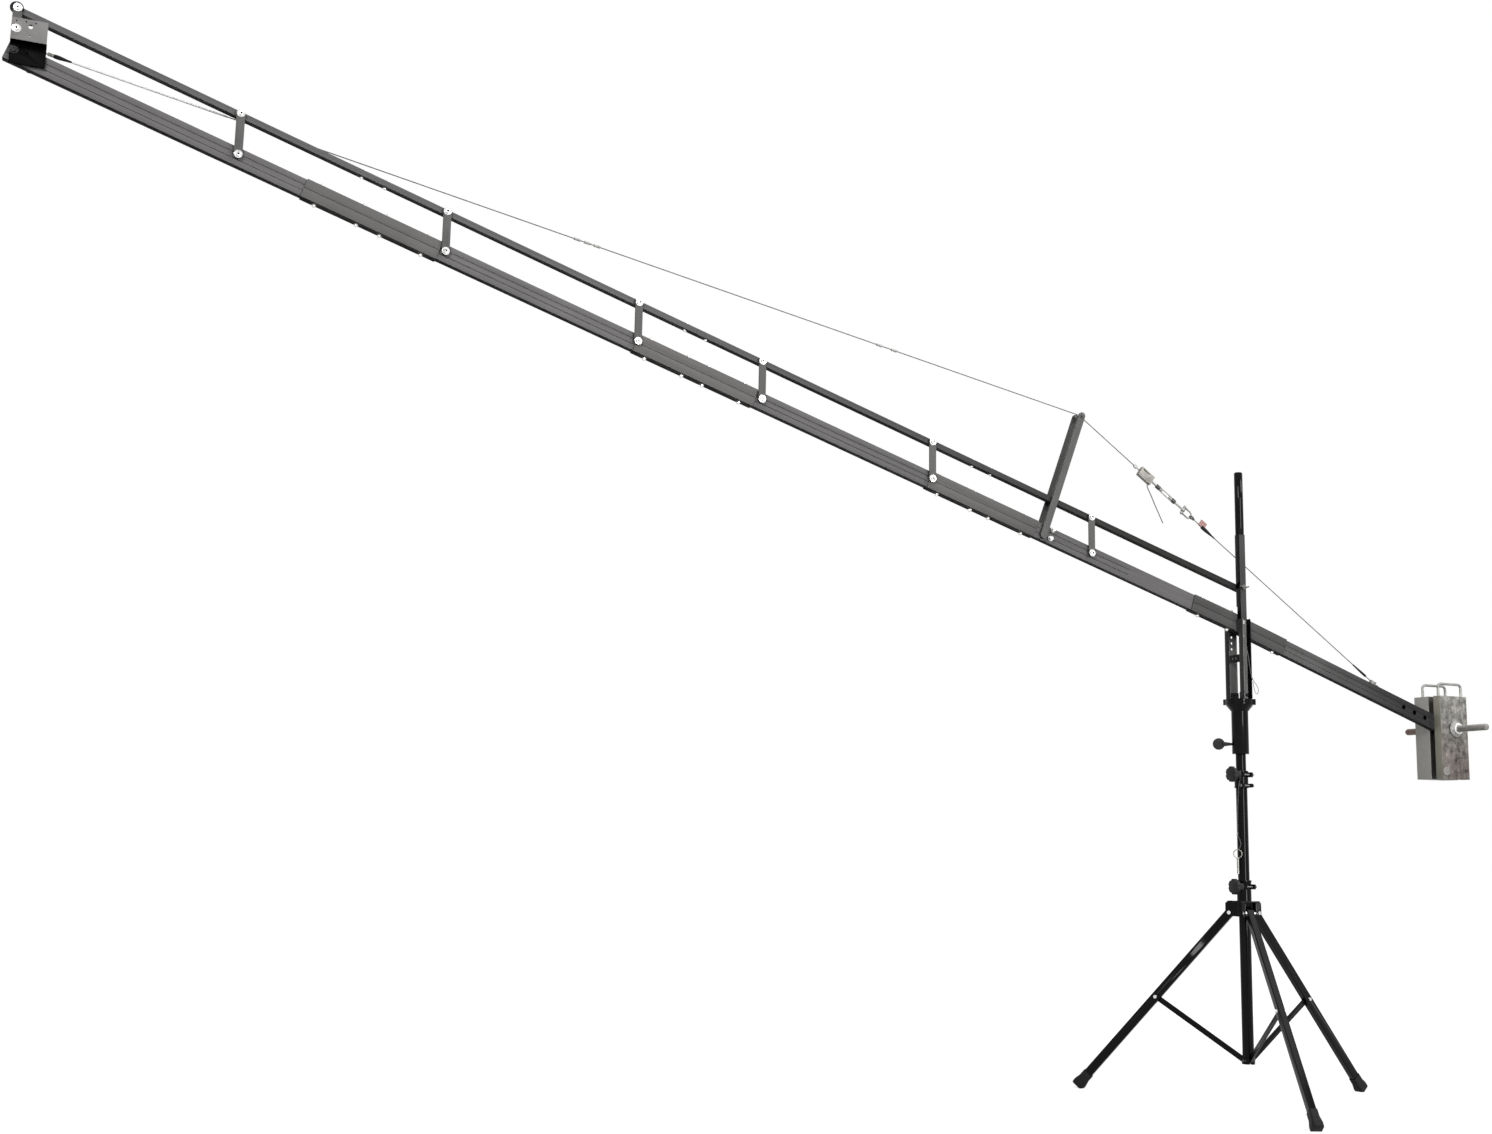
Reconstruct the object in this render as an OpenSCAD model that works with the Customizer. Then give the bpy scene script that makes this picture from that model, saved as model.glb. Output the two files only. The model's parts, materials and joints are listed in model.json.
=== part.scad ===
// Camera jib crane: a long tilting boom with a parallel top rod, a stayed king post,
// a counterweight bar with two slabs, and a three-legged rolling-collar stand.
// +Z is up, +X runs toward the weights, +Y points away from the viewer's side.
// The origin is the floor point under the pan axis.

/* [Boom] */
// Height of the tilt pivot above the floor
pivot_z = 1706; // [1650:1:1760]
// Slope of the boom above level, in degrees
tilt = 18; // [12:1:22]
// Length of one boom section
section_l = 1131; // [1100:1:1160]
// Width of the boom tube
boom_w = 25.4; // [24:0.1:27]
// Height of the boom tube
boom_h = 57; // [50:0.5:60]
// Wall of the boom tube
boom_wall = 2; // [1.5:0.1:3]
// Length of boom in front of the head pivot
nose_l = 21; // [18:1:40]
// Extra downward crank of the rear section, in degrees
rear_crank = 1.5; // [0:0.1:2]
// Drop of the rear section at the fulcrum
rear_drop = 3; // [1:0.1:4]
// Length of the rear section
rear_l = 1072; // [1062:1:1085]
// Length of a splice sleeve
splice_l = 444; // [400:1:470]
// Length of the fulcrum sleeve
fulcrum_l = 430; // [400:1:460]
// Thickness of the sleeve's side walls
sleeve_side = 3.85; // [3:0.05:4.5]
// Thickness of the sleeve's top and bottom walls
sleeve_cap = 2; // [1.5:0.1:3]
// Radius of the sleeve bolts
splice_bolt_r = 4; // [3:0.1:5]

/* [Parallel rod and posts] */
// Distance between a post's two bolts
post_h = 130; // [126:1:136]
// Spacing of the posts along the boom
post_pitch = 673; // [660:1:680]
// Distance from the tilt pivot to the head pivot
head_s = 4499; // [4480:1:4505]
// Height of the top rod
rod_h = 19; // [17:0.5:22]
// Width of a post
post_w = 25.4; // [20:0.2:28]
// Thickness of a post
post_t = 5; // [4:0.5:6]
// Gap between boom and post, filled by a spacer
post_gap = 6.3; // [5.5:0.1:7]
// Radius of the bolts in the posts
post_bolt_r = 4; // [3:0.1:5]

/* [Stay] */
// Distance from the tilt pivot to the king post's foot
king_s = 846; // [830:1:860]
// Height of the king post's roller above the boom line
king_h = 463; // [440:1:480]
// Radius of the stay cable
cable_r = 2; // [1.5:0.1:2.5]
// Distance from the tilt pivot to the front cable anchor
front_anchor_s = 4446; // [4430:1:4455]
// Distance behind the tilt pivot of the rear cable anchor
rear_anchor_u = 650; // [640:1:670]

/* [Weights] */
// Distance of the weight bar behind the pan axis
bar_x = 969; // [960:1:975]
// Radius of the weight bar
bar_r = 12.7; // [11:0.1:14]
// Width of a weight slab
slab_w = 130; // [120:1:140]
// Height of a weight slab
slab_h = 318; // [300:1:330]
// Thickness of the near slab
near_slab_t = 35; // [30:1:45]
// Thickness of the far slab
far_slab_t = 74.8; // [60:0.2:85]
// Reach of the bar on the near side
bar_near = 206; // [190:1:220]
// Reach of the bar on the far side
bar_far = 207; // [190:1:220]

/* [Yoke] */
// Distance from the boom's centre plane to a channel's inner face
yoke_gap = 29; // [28:0.5:31]
// Thickness of the yoke's channels
yoke_wall = 3; // [2:0.5:4]
// Width of a yoke channel
channel_w = 36; // [32:1:40]
// Depth of a yoke channel
channel_d = 24; // [20:1:26]
// Height of the yoke's base
yoke_base_z = 1425; // [1410:1:1440]
// Radius of the tilt shaft
shaft_r = 5; // [4:0.5:6]
// Side of the square monitor post
monitor_w = 25.4; // [24:0.2:25.6]
// Top of the square part of the monitor post
monitor_top = 2033; // [2010:1:2060]
// Length of the round sleeve on the monitor post
monitor_sleeve_l = 236; // [200:1:260]

/* [Column] */
// Radius of the outer column
column_r = 20.25; // [19.5:0.05:21.5]
// Radius of the inner column
inner_r = 18; // [17:0.1:18.6]
// Height of the column collar's lower edge
collar_z = 1102; // [1080:1:1115]
// Height of the column collar
collar_h = 62; // [58:1:68]
// Radius of the pan sleeve
pan_r = 30; // [28:0.5:33]
// Height of the pan sleeve's lower edge
pan_z = 1225; // [1218:1:1235]
// Lower end of the inner column
inner_z = 580; // [540:1:620]

/* [Tripod] */
// Angle of a leg from the vertical, in degrees
leg_a = 41.23; // [39:0.1:43]
// Length from a leg's pin to the end of its foot
leg_l = 862; // [845:1:880]
// Length from a leg's pin to its knee
knee_l = 414; // [404:1:424]
// Distance of a leg pin from the column's axis
pin_r = 51.5; // [50:0.5:54]
// Width of a leg
leg_w = 24; // [22:0.5:26]
// Depth of a leg
leg_d = 32; // [30:0.5:34]
// Thickness of a brace
brace_t = 6; // [4:0.5:7]
// Height of a brace
brace_h = 20; // [18:0.5:22]
// Turn of the whole tripod about the column, in degrees
tripod_turn = 11.5; // [0:0.5:30]

/* [Hidden] */
$fn = 40;

fit = 0.2;
run = 0.05;
seat = 0.3;
paint = [0.13, 0.125, 0.13];
black = [0.045, 0.045, 0.05];
steel = [0.72, 0.72, 0.7];
bright = [0.86, 0.86, 0.86];
slab_steel = [0.6, 0.58, 0.54];
rubber_black = [0.09, 0.09, 0.09];

// The boom line runs through the lower post bolts; the tube's centre lies a little below it
boom_mid = -4;
boom_top = boom_mid + boom_h / 2;
boom_bottom = boom_mid - boom_h / 2;
half_w = boom_w / 2;
post_y = -half_w - post_gap - post_t;
post_count = 6;
nose_s = head_s + nose_l;
sleeve_half = half_w + fit + sleeve_side;
sleeve_top = boom_top + fit + sleeve_cap;
sleeve_bottom = boom_bottom - fit - sleeve_cap;

// Distances of the posts, two to each outer section and one each side of the second splice
function post_s(i) = i < 3 ? (i + 1) * post_pitch : head_s - (6 - i) * post_pitch;

// Tripod linkage, worked out in the plane of one leg
foot_lift = 8.7;
pin_z = leg_l * cos(leg_a) + foot_lift;
hub_low = pin_z - 13;
hub_top = pin_z + 42;
neck_top = pin_z + 116;
foot_hub_z = 131;
brace_pin_r = 14;
brace_pin_z = foot_hub_z + 12;
knee_x = pin_r + knee_l * sin(leg_a);
knee_z = pin_z - knee_l * cos(leg_a);
brace_l = norm([knee_x - brace_pin_r, knee_z - brace_pin_z]);
brace_a = atan2(knee_x - brace_pin_r, knee_z - brace_pin_z);
foot_hub_r = 23;
foot_hub_h = 24;
rivet_r = 3;

// Clamp screws of the hub and of the column collar
clamp_y = -(column_r + 9);
clamp_bolt_r = 3;
hub_clamp_z = pin_z + 93;
collar_clamp_z = collar_z + 48;
collar_low_z = collar_z + 9;
lug_x = 14;
lug_w = 9;

// Yoke
web_top = pivot_z + 12;
far_web = yoke_gap + yoke_wall;
monitor_y = -26;
monitor_low = web_top;
tongue_y = -yoke_gap + 0.1;
rod_pivot_z = pivot_z + post_h;
base_h = 21;
crossbar_z = yoke_base_z + 135;
pan_top = yoke_base_z - base_h;

// Stay cable: one straight run to the head and one to the rear anchor
roller_r = 7;
king_lean = 15;
roller_s = king_s + king_lean;
front_y = 21;
front_w = 49;
front_s = front_anchor_s - 22;
rear_lug_h = 8;
rear_s = -rear_anchor_u * cos(rear_crank) - (boom_top + rear_lug_h) * sin(rear_crank);
rear_w = (boom_top + rear_lug_h) * cos(rear_crank) - rear_anchor_u * sin(rear_crank) - rear_drop;
fork_l = 15;
front_slope = atan2(king_h + roller_r - front_w, front_s - roller_s);
rear_slope = atan2(king_h + roller_r - rear_w, roller_s - rear_s);
grip_s = 533;
buckle_s = 433;
buckle_l = 96;
shackle_x = 92;
thimble_x = shackle_x + 44;

// Weights
rear_tilt = tilt + rear_crank;
bar_u = (bar_x - boom_mid * sin(rear_tilt) + rear_drop * sin(tilt)) / cos(rear_tilt);
bar_z = pivot_z - bar_u * sin(rear_tilt) + boom_mid * cos(rear_tilt) - rear_drop * cos(tilt);
slab_low = 192;
handle_r = 5;
handle_h = 47;
handle_x = 56;

// Frames of reference
module on_boom() translate([0, 0, pivot_z]) rotate([0, tilt, 0]) children();
module on_rear() on_boom() translate([0, 0, -rear_drop]) rotate([0, rear_crank, 0]) children();
module on_rod() translate([0, 0, rod_pivot_z]) rotate([0, tilt, 0]) children();
module at_leg(i) rotate([0, 0, tripod_turn + 120 * i]) children();
module on_leg() translate([pin_r, 0, pin_z]) rotate([0, 90 - leg_a, 0]) children();
module on_brace() translate([brace_pin_r, 0, brace_pin_z]) rotate([0, brace_a - 90, 0]) children();
function stay_w(s) = rear_w + (s - rear_s) * tan(rear_slope);
module on_stay(s) on_boom() translate([-s, 0, stay_w(s)]) rotate([0, rear_slope, 0]) children();

// Basic shapes
module ycyl(r, y0, y1) translate([0, y0, 0]) rotate([-90, 0, 0]) cylinder(r = r, h = y1 - y0);
module xcyl(r, x0, x1) translate([x0, 0, 0]) rotate([0, 90, 0]) cylinder(r = r, h = x1 - x0);
module yhex(r, y0, y1) translate([0, y0, 0]) rotate([-90, 0, 0]) cylinder(r = r, h = y1 - y0, $fn = 6);
module xhex(r, x0, x1) translate([x0, 0, 0]) rotate([0, 90, 0]) cylinder(r = r, h = x1 - x0, $fn = 6);
module yslab(y0, y1) translate([0, y1, 0]) rotate([90, 0, 0]) linear_extrude(y1 - y0) children();
module span(x0, x1, w, z0, z1) translate([x0, -w / 2, z0]) cube([x1 - x0, w, z1 - z0]);
module round_rect(w, h, r) {
  square([w - 2 * r, h], center = true);
  square([w, h - 2 * r], center = true);
  for (x = [-1, 1], y = [-1, 1])
    translate([x * (w / 2 - r), y * (h / 2 - r)])
      circle(r = r);
}
module stadium(l, w) {
  translate([0, -w / 2]) square([l, w]);
  circle(r = w / 2);
  translate([l, 0]) circle(r = w / 2);
}

// A thin round cord swept along points, one ring at each
function unit(v) = v / norm(v);
function heading(p, i) = unit(p[min(i + 1, len(p) - 1)] - p[max(i - 1, 0)]);
function ring(p, i, r, n, side) =
  let (t = heading(p, i), a = unit(cross(t, side)), b = cross(t, a))
  [for (k = [0:n - 1]) p[i] + r * (cos(360 * k / n) * a + sin(360 * k / n) * b)];
module sweep(p, r, n = 8, side = [0, 1, 0]) {
  m = len(p);
  points = [for (i = [0:m - 1]) each ring(p, i, r, n, side)];
  walls = [for (i = [0:m - 2], k = [0:n - 1]) each
    [[i * n + k, i * n + (k + 1) % n, (i + 1) * n + (k + 1) % n],
     [i * n + k, (i + 1) * n + (k + 1) % n, (i + 1) * n + k]]];
  first = [for (k = [1:n - 2]) [0, k + 1, k]];
  last = [for (k = [1:n - 2]) [(m - 1) * n, (m - 1) * n + k, (m - 1) * n + k + 1]];
  polyhedron(points = points, faces = concat(walls, first, last));
}

// Cap nut with a domed end, standing on z = 0
module cap_nut() {
  cylinder(r = splice_bolt_r + 4, h = 5, $fn = 6);
  cylinder(r = splice_bolt_r + 2, h = 5.6);
  translate([0, 0, 5.5]) sphere(r = splice_bolt_r + 2);
}
module through_bolt(z0, z1) {
  translate([0, 0, z0]) cylinder(r = splice_bolt_r, h = z1 - z0);
  translate([0, 0, z1]) cap_nut();
  translate([0, 0, z0]) mirror([0, 0, 1]) cap_nut();
}

// Boom tubes
groove_d = 0.8;
groove_w = 1.6;
label_s0 = 215;
label_s1 = 505;
splice_near = 38;
splice_far = 175;
module tube_body(u0, u1) {
  span(u0, u1, boom_w, boom_bottom, boom_top);
}
module tube_bore(u0, u1) {
  span(u0, u1, boom_w - 2 * boom_wall, boom_bottom + boom_wall, boom_top - boom_wall);
}
module tube_grooves(u0, u1, sides = [-1, 1]) {
  for (k = [-1, 1], y = sides)
    translate([u0, y * half_w - groove_d, boom_mid + k * boom_h / 6 - groove_w / 2])
      cube([u1 - u0, 2 * groove_d, groove_w]);
}
module sleeve_bolts_at(list) {
  for (u = list) translate([u, 0, 0]) children();
}
module bolt_hole() translate([0, 0, boom_mid - boom_h]) cylinder(r = splice_bolt_r + fit, h = 2 * boom_h);
module boom_tubes() color(paint)
  on_boom()
    for (i = [0:3])
      difference() {
        u1 = -i * section_l - (i == 0 ? 0.6 : 0.25);
        u0 = i == 3 ? -nose_s : -(i + 1) * section_l + 0.25;
        tube_body(u0, u1);
        tube_bore(i == 3 ? u0 + boom_wall : u0 - 1, u1 + 1);
        tube_grooves(u0 - 1, i == 0 ? -label_s1 : u1 + 1);
        if (i == 0) tube_grooves(-label_s1 - 1, u1 + 1, [1]);
        sleeve_bolts_at([for (e = [splice_near, splice_far]) -i * section_l - e]) bolt_hole();
        if (i < 3) sleeve_bolts_at([for (e = [splice_near, splice_far]) -(i + 1) * section_l + e]) bolt_hole();
        for (k = [0:post_count - 1])
          if (post_s(k) > -u1 && post_s(k) < -u0)
            translate([-post_s(k), 0, 0]) ycyl(post_bolt_r + fit, -boom_w, boom_w);
        if (i == 3) translate([-head_s, 0, 0]) ycyl(post_bolt_r + fit, -boom_w, boom_w);
        if (i == 3) anchor_holes();
        if (i == 0) ycyl(shaft_r + 1, -boom_w, boom_w);
        if (i == 0) king_holes();
      }
module king_holes()
  for (w = [-16, 18]) translate([-king_s, 0, w]) ycyl(post_bolt_r + fit, -boom_w, boom_w);
module anchor_holes()
  for (w = [-14, 6]) translate([-front_anchor_s, 0, w]) ycyl(rivet_r + fit, 0, boom_w);

light_hole_r = 8.5;
light_holes = [802, 857, 910];
module boom_rear() color(paint)
  on_rear()
    difference() {
      tube_body(0.9, rear_l);
      tube_bore(0, rear_l - boom_wall);
      tube_grooves(0, rear_l + 1);
      sleeve_bolts_at([splice_near, splice_far]) bolt_hole();
      ycyl(shaft_r + 5, -boom_w, boom_w);
      for (u = light_holes) translate([u, 0, boom_mid]) ycyl(light_hole_r, -boom_w, boom_w);
      translate([bar_u, 0, boom_mid]) ycyl(bar_r + fit, -boom_w, boom_w);
      translate([rear_anchor_u, 0, 0]) cylinder(r = rivet_r + fit, h = boom_h);
    }

// Sleeves over the joints between tubes
module sleeve_shell(u0, u1) span(u0, u1, 2 * sleeve_half, sleeve_bottom, sleeve_top);
module sleeve_grooves(u0, u1)
  for (y = [-1, 1])
    translate([u0, y * sleeve_half - groove_d, boom_mid - groove_w / 2])
      cube([u1 - u0, 2 * groove_d, groove_w]);
module sleeve_bore(u0, u1)
  span(u0, u1, boom_w + 2 * fit, boom_bottom - fit, boom_top + fit);
module splice_sleeves() color(paint)
  on_boom()
    for (i = [1:3])
      translate([-i * section_l, 0, 0])
        difference() {
          sleeve_shell(-splice_l / 2, splice_l / 2);
          sleeve_grooves(-splice_l, splice_l);
          sleeve_bore(-splice_l, splice_l);
          sleeve_bolts_at([-splice_far, -splice_near, splice_near, splice_far]) bolt_hole();
          for (k = [0:post_count - 1])
            translate([i * section_l - post_s(k), 0, 0]) ycyl(post_bolt_r + 5 + fit, -boom_w, boom_w);
        }
// A point of the rear section, given along it and above its line, in the front boom's plane
function rear_at(u, w) =
  [u * cos(rear_crank) + w * sin(rear_crank), w * cos(rear_crank) - u * sin(rear_crank) - rear_drop];
// Side outline that follows both tubes, stepping down over step long at the fulcrum
module bent_profile(u, top, bottom, step_u, step)
  polygon([[-u, bottom], [-u, top], [step_u, top], rear_at(step_u + step, top), rear_at(u, top),
           rear_at(u, bottom), rear_at(-step_u, bottom), [-step_u - step, bottom]]);
module fulcrum_sleeve() color(paint)
  difference() {
    on_boom() yslab(-sleeve_half, sleeve_half) bent_profile(fulcrum_l / 2, sleeve_top, sleeve_bottom, 6, 12);
    on_boom() yslab(-half_w - fit, half_w + fit) bent_profile(fulcrum_l, boom_top + fit, boom_bottom - fit, 0.5, 1);
    on_boom() sleeve_grooves(-fulcrum_l, -15);
    on_rear() sleeve_grooves(15, fulcrum_l);
    on_boom() sleeve_bolts_at([-splice_far, -splice_near]) bolt_hole();
    on_rear() sleeve_bolts_at([splice_near, splice_far]) bolt_hole();
    on_boom() ycyl(shaft_r + run, -boom_w, boom_w);
  }
module splice_bolts() color(bright) {
  on_boom() {
    for (i = [1:3])
      translate([-i * section_l, 0, 0])
        sleeve_bolts_at([-splice_far, -splice_near, splice_near, splice_far])
          through_bolt(sleeve_bottom, sleeve_top);
    sleeve_bolts_at([-splice_far, -splice_near]) through_bolt(sleeve_bottom, sleeve_top);
  }
  on_rear() sleeve_bolts_at([splice_near, splice_far]) through_bolt(sleeve_bottom, sleeve_top);
}

// Bolt through a post: washer, socket head, shank and the spacer behind the post
washer_r = 12.5;
head_r = 8;
module post_bolt(y_end) {
  difference() {
    union() {
      ycyl(washer_r, post_y - seat - 1.7, post_y - seat);
      ycyl(head_r, post_y - seat - 7, post_y - seat - 1.7);
    }
    yhex(3.4, post_y - seat - 8, post_y - seat - 4);
  }
  ycyl(post_bolt_r, post_y - seat - 1, y_end);
}
module post_spacer()
  difference() {
    ycyl(post_bolt_r + 5, -half_w - post_gap + seat, -half_w);
    ycyl(post_bolt_r + fit, -boom_w, 0);
  }
module back_nut(y0) difference() {
  yhex(post_bolt_r + 3.5, y0, y0 + 6);
  ycyl(post_bolt_r + fit, y0 - 1, y0 + 7);
}
module boom_bolts() color(bright)
  on_boom() {
    for (s = [for (i = [0:post_count - 1]) post_s(i), head_s])
      translate([-s, 0, 0]) {
        post_bolt(half_w + 8);
        post_spacer();
        back_nut(half_w);
      }
    for (w = [-16, 18])
      translate([-king_s, 0, w]) {
        ycyl(post_bolt_r, -king_out - 6, king_out + 6);
        for (y = [-1, 1]) {
          yhex(post_bolt_r + 3.5, y > 0 ? king_out : -king_out - 5, y > 0 ? king_out + 5 : -king_out);
          difference() {
            ycyl(post_bolt_r + 5, y > 0 ? half_w : -king_in, y > 0 ? king_in : -half_w);
            ycyl(post_bolt_r + 0.5 * fit, -boom_w, boom_w);
          }
        }
      }
  }

// Parallel rod above the boom
rod_wall = 2;
rod_front = head_s + rod_h / 2;
rod_back = 11;
module top_rod() color(paint)
  on_rod() {
    for (i = [0:3]) {
      u1 = i == 0 ? rod_back : -i * section_l - 0.25;
      u0 = i == 3 ? -rod_front : -(i + 1) * section_l + 0.25;
      difference() {
        span(u0, u1, boom_w, -rod_h / 2, rod_h / 2);
        span(i == 3 ? u0 + rod_wall : u0 - 1, i == 0 ? u1 - rod_wall : u1 + 1,
             boom_w - 2 * rod_wall, rod_wall - rod_h / 2, rod_h / 2 - rod_wall);
        for (s = [for (k = [0:post_count - 1]) post_s(k), head_s, 0])
          if (s > -u1 && s < -u0)
            translate([-s, 0, 0]) ycyl((s == 0 ? shaft_r + run : post_bolt_r + fit), -boom_w, boom_w);
        for (e = [u0 + splice_near, u1 - splice_near])
          translate([e, 0, -rod_h]) cylinder(r = rivet_r + fit, h = 2 * rod_h);
      }
    }
    for (i = [1:3])
      translate([-i * section_l, 0, 0])
        difference() {
          span(-65, 65, boom_w - 2 * rod_wall - fit, rod_wall + fit - rod_h / 2, rod_h / 2 - rod_wall - fit);
          for (e = [-1, 1])
            translate([e * (splice_near + 0.25), 0, -rod_h]) cylinder(r = rivet_r + fit, h = 2 * rod_h);
        }
  }
module rod_screw() {
  translate([0, 0, -rod_h / 2]) cylinder(r = rivet_r, h = rod_h);
  for (z = [0, 1]) mirror([0, 0, z]) translate([0, 0, rod_h / 2]) {
    cylinder(r = rivet_r + 3, h = 3, $fn = 6);
    cylinder(r = rivet_r + 1.4, h = 3.6);
    translate([0, 0, 3.5]) sphere(r = rivet_r + 1.4);
  }
}
module rod_bolts() color(bright)
  on_rod() {
    for (s = [for (i = [0:post_count - 1]) post_s(i), head_s])
      translate([-s, 0, 0]) {
        post_bolt(half_w);
        post_spacer();
      }
    for (i = [1:3], e = [-1, 1])
      translate([-i * section_l + e * (splice_near + 0.25), 0, 0]) rod_screw();
  }

// Upright posts that keep the head level
module post(i) color(paint)
  translate([-post_s(i) * cos(tilt), 0, pivot_z + post_s(i) * sin(tilt)])
    difference() {
      yslab(post_y, post_y + post_t) rotate(90) stadium(post_h, post_w);
      for (z = [0, post_h]) translate([0, 0, z]) ycyl(post_bolt_r + run, post_y - 1, 0);
    }

// Head link and the camera channel bolted to it
head_x0 = -12.2;
head_x1 = 86.4;
head_low = -41;
head_step = 32;
channel_low = 19.2;
channel_high = 85.2;
channel_face = -54;
channel_t = 6;
mount_hole = [40.4, 63.9];
head_bolt = [3.4, 52.4];
module at_head() translate([-head_s * cos(tilt), 0, pivot_z + head_s * sin(tilt)]) children();
module head_link() color(paint)
  at_head()
    difference() {
      union() {
        translate([head_x0, post_y, head_low])
          cube([head_x1 - head_x0, post_t, head_step - head_low]);
        yslab(post_y, post_y + post_t) rotate(90) stadium(post_h, post_w);
      }
      for (z = [0, post_h]) translate([0, 0, z]) ycyl(post_bolt_r + run, post_y - 1, 0);
      translate([head_bolt[0], 0, head_bolt[1]]) ycyl(post_bolt_r + fit, post_y - 1, 0);
      for (p = [[36.3, 22], [36.5, -4.2], [13.5, 9.2]])
        translate([p[0], 0, p[1]]) ycyl(2.5, post_y - 1, 0);
    }
module camera_plate() {
  color(steel)
    at_head()
      difference() {
        translate([head_x0 + 2, channel_face, channel_low])
          cube([head_x1 - head_x0 - 2, post_y - channel_face, channel_high - channel_low]);
        translate([head_x0, channel_face + channel_t, channel_low + channel_t])
          cube([head_x1 - head_x0 + 2, 60, channel_high - channel_low - 2 * channel_t]);
        translate([mount_hole[0], 0, mount_hole[1]]) ycyl(6.5, channel_face - 1, 0);
        translate([head_bolt[0], 0, head_bolt[1]]) ycyl(post_bolt_r + fit, channel_face - 1, 0);
        for (p = [[2.1, 76], [27.4, 76], [53.2, 76], [39.6, 35.8]])
          translate([p[0], 0, p[1]]) ycyl(2.2, channel_face - 1, channel_face + channel_t + 1);
      }
  color(bright)
    at_head() translate([head_bolt[0], 0, head_bolt[1]]) {
      difference() {
        union() {
          ycyl(washer_r, channel_face - 1.7, channel_face);
          ycyl(head_r, channel_face - 7, channel_face - 1.6);
        }
        yhex(3.4, channel_face - 8, channel_face - 4);
      }
      ycyl(post_bolt_r, channel_face - 1, post_y + post_t + 5);
      difference() {
        ycyl(post_bolt_r + 4, channel_face + channel_t, post_y);
        ycyl(post_bolt_r + 0.5 * fit, channel_face, 0);
      }
    }
}

// King post: two flat bars astride the boom, joined by a bolt at the roller
king_in = 19.5;
king_out = king_in + post_t;
king_foot = -28;
king_bolt_r = 3;
king_tilt = atan2(king_lean, king_h);
module at_roller() on_boom() translate([-roller_s, 0, king_h]) children();
module king_post() {
  color(paint)
    on_boom()
      for (y = [-1, 1])
        difference() {
          translate([-roller_s, 0, king_h]) rotate([0, king_tilt + 90, 0])
            yslab(y > 0 ? king_in : -king_out, y > 0 ? king_out : -king_in)
              stadium(king_h - king_foot - post_w / 2, post_w);
          for (w = [-16, 18]) translate([-king_s, 0, w]) ycyl(post_bolt_r + fit, -2 * king_out, 2 * king_out);
          translate([-roller_s, 0, king_h]) ycyl(king_bolt_r + 0.5 * fit, -2 * king_out, 2 * king_out);
          translate([-king_s - king_lean * 0.46, 0, king_h * 0.46]) ycyl(3.5, -2 * king_out, 2 * king_out);
        }
  color(bright) at_roller() {
    ycyl(king_bolt_r, -king_out - 5, king_out + 5);
    for (y = [-1, 1]) {
      ycyl(washer_r - 1, y > 0 ? king_out : -king_out - 1.7, y > 0 ? king_out + 1.7 : -king_out);
      yhex(7, y > 0 ? king_out + 1.6 : -king_out - 6, y > 0 ? king_out + 6 : -king_out - 1.6);
      difference() {
        ycyl(6, y > 0 ? 6.3 : -king_in, y > 0 ? king_in : -6.3);
        ycyl(king_bolt_r + 0.5 * fit, -boom_w, boom_w);
      }
    }
  }
}
module cable_roller() color(steel)
  at_roller()
    rotate([90, 0, 0])
      rotate_extrude()
        polygon([[king_bolt_r + run, -6], [10, -6], [10, -4], [roller_r - cable_r - seat, -2.6],
                 [roller_r - cable_r - seat, 2.6], [10, 4], [10, 6], [king_bolt_r + run, 6]]);

// Stay cable from the head over the roller to the grip, and from the shackle to the rear
function over_roller(a) = [-roller_s - roller_r * sin(a), 0, king_h + roller_r * cos(a)];
function front_point(t) = over_roller(front_slope) * (1 - t) + [-front_s, front_y, front_w] * t;
function rear_point(s) = [-s, 0, stay_w(s)];
front_path = concat([for (t = [0:3]) rear_point(grip_s + 6 + t * 90)],
  [for (k = [-3:3]) over_roller(k < 0 ? k * rear_slope / 3 : k * front_slope / 3)],
  [for (t = [1:8]) front_point(t / 8)]);
rear_from = buckle_s - (thimble_x + 14) * cos(rear_slope);
rear_to = rear_s + fork_l;
rear_path = [for (t = [0:4]) rear_point(rear_from + (rear_to - rear_from) * t / 4)];
module stay_cable() color(steel)
  on_boom() {
    sweep(front_path, cable_r);
    sweep(rear_path, cable_r);
  }

// Crimped ferrules and black sleeves on the cable
ferrule_r = 4.5;
module tube_on(l, r) difference() {
  xcyl(r, -l / 2, l / 2);
  xcyl(cable_r + fit, -l, l);
}
module on_front(s) on_boom()
  translate(front_point((s - roller_s) / (front_s - roller_s)))
    rotate([0, 0, -atan2(front_y, front_s - roller_s)]) rotate([0, -front_slope, 0]) children();
module cable_crimps() {
  color(steel)
    for (s = [2777, 2709, 1672, 1615]) on_front(s) tube_on(22, ferrule_r);
  color(steel) on_stay(584) tube_on(14, ferrule_r + 1.5);
  color(black) on_front(front_s - 36) tube_on(66, ferrule_r + 1);
  color(black) on_stay(218) tube_on(66, ferrule_r + 1);
  color(black) on_stay(-574) tube_on(74, ferrule_r + 1);
}

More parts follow.
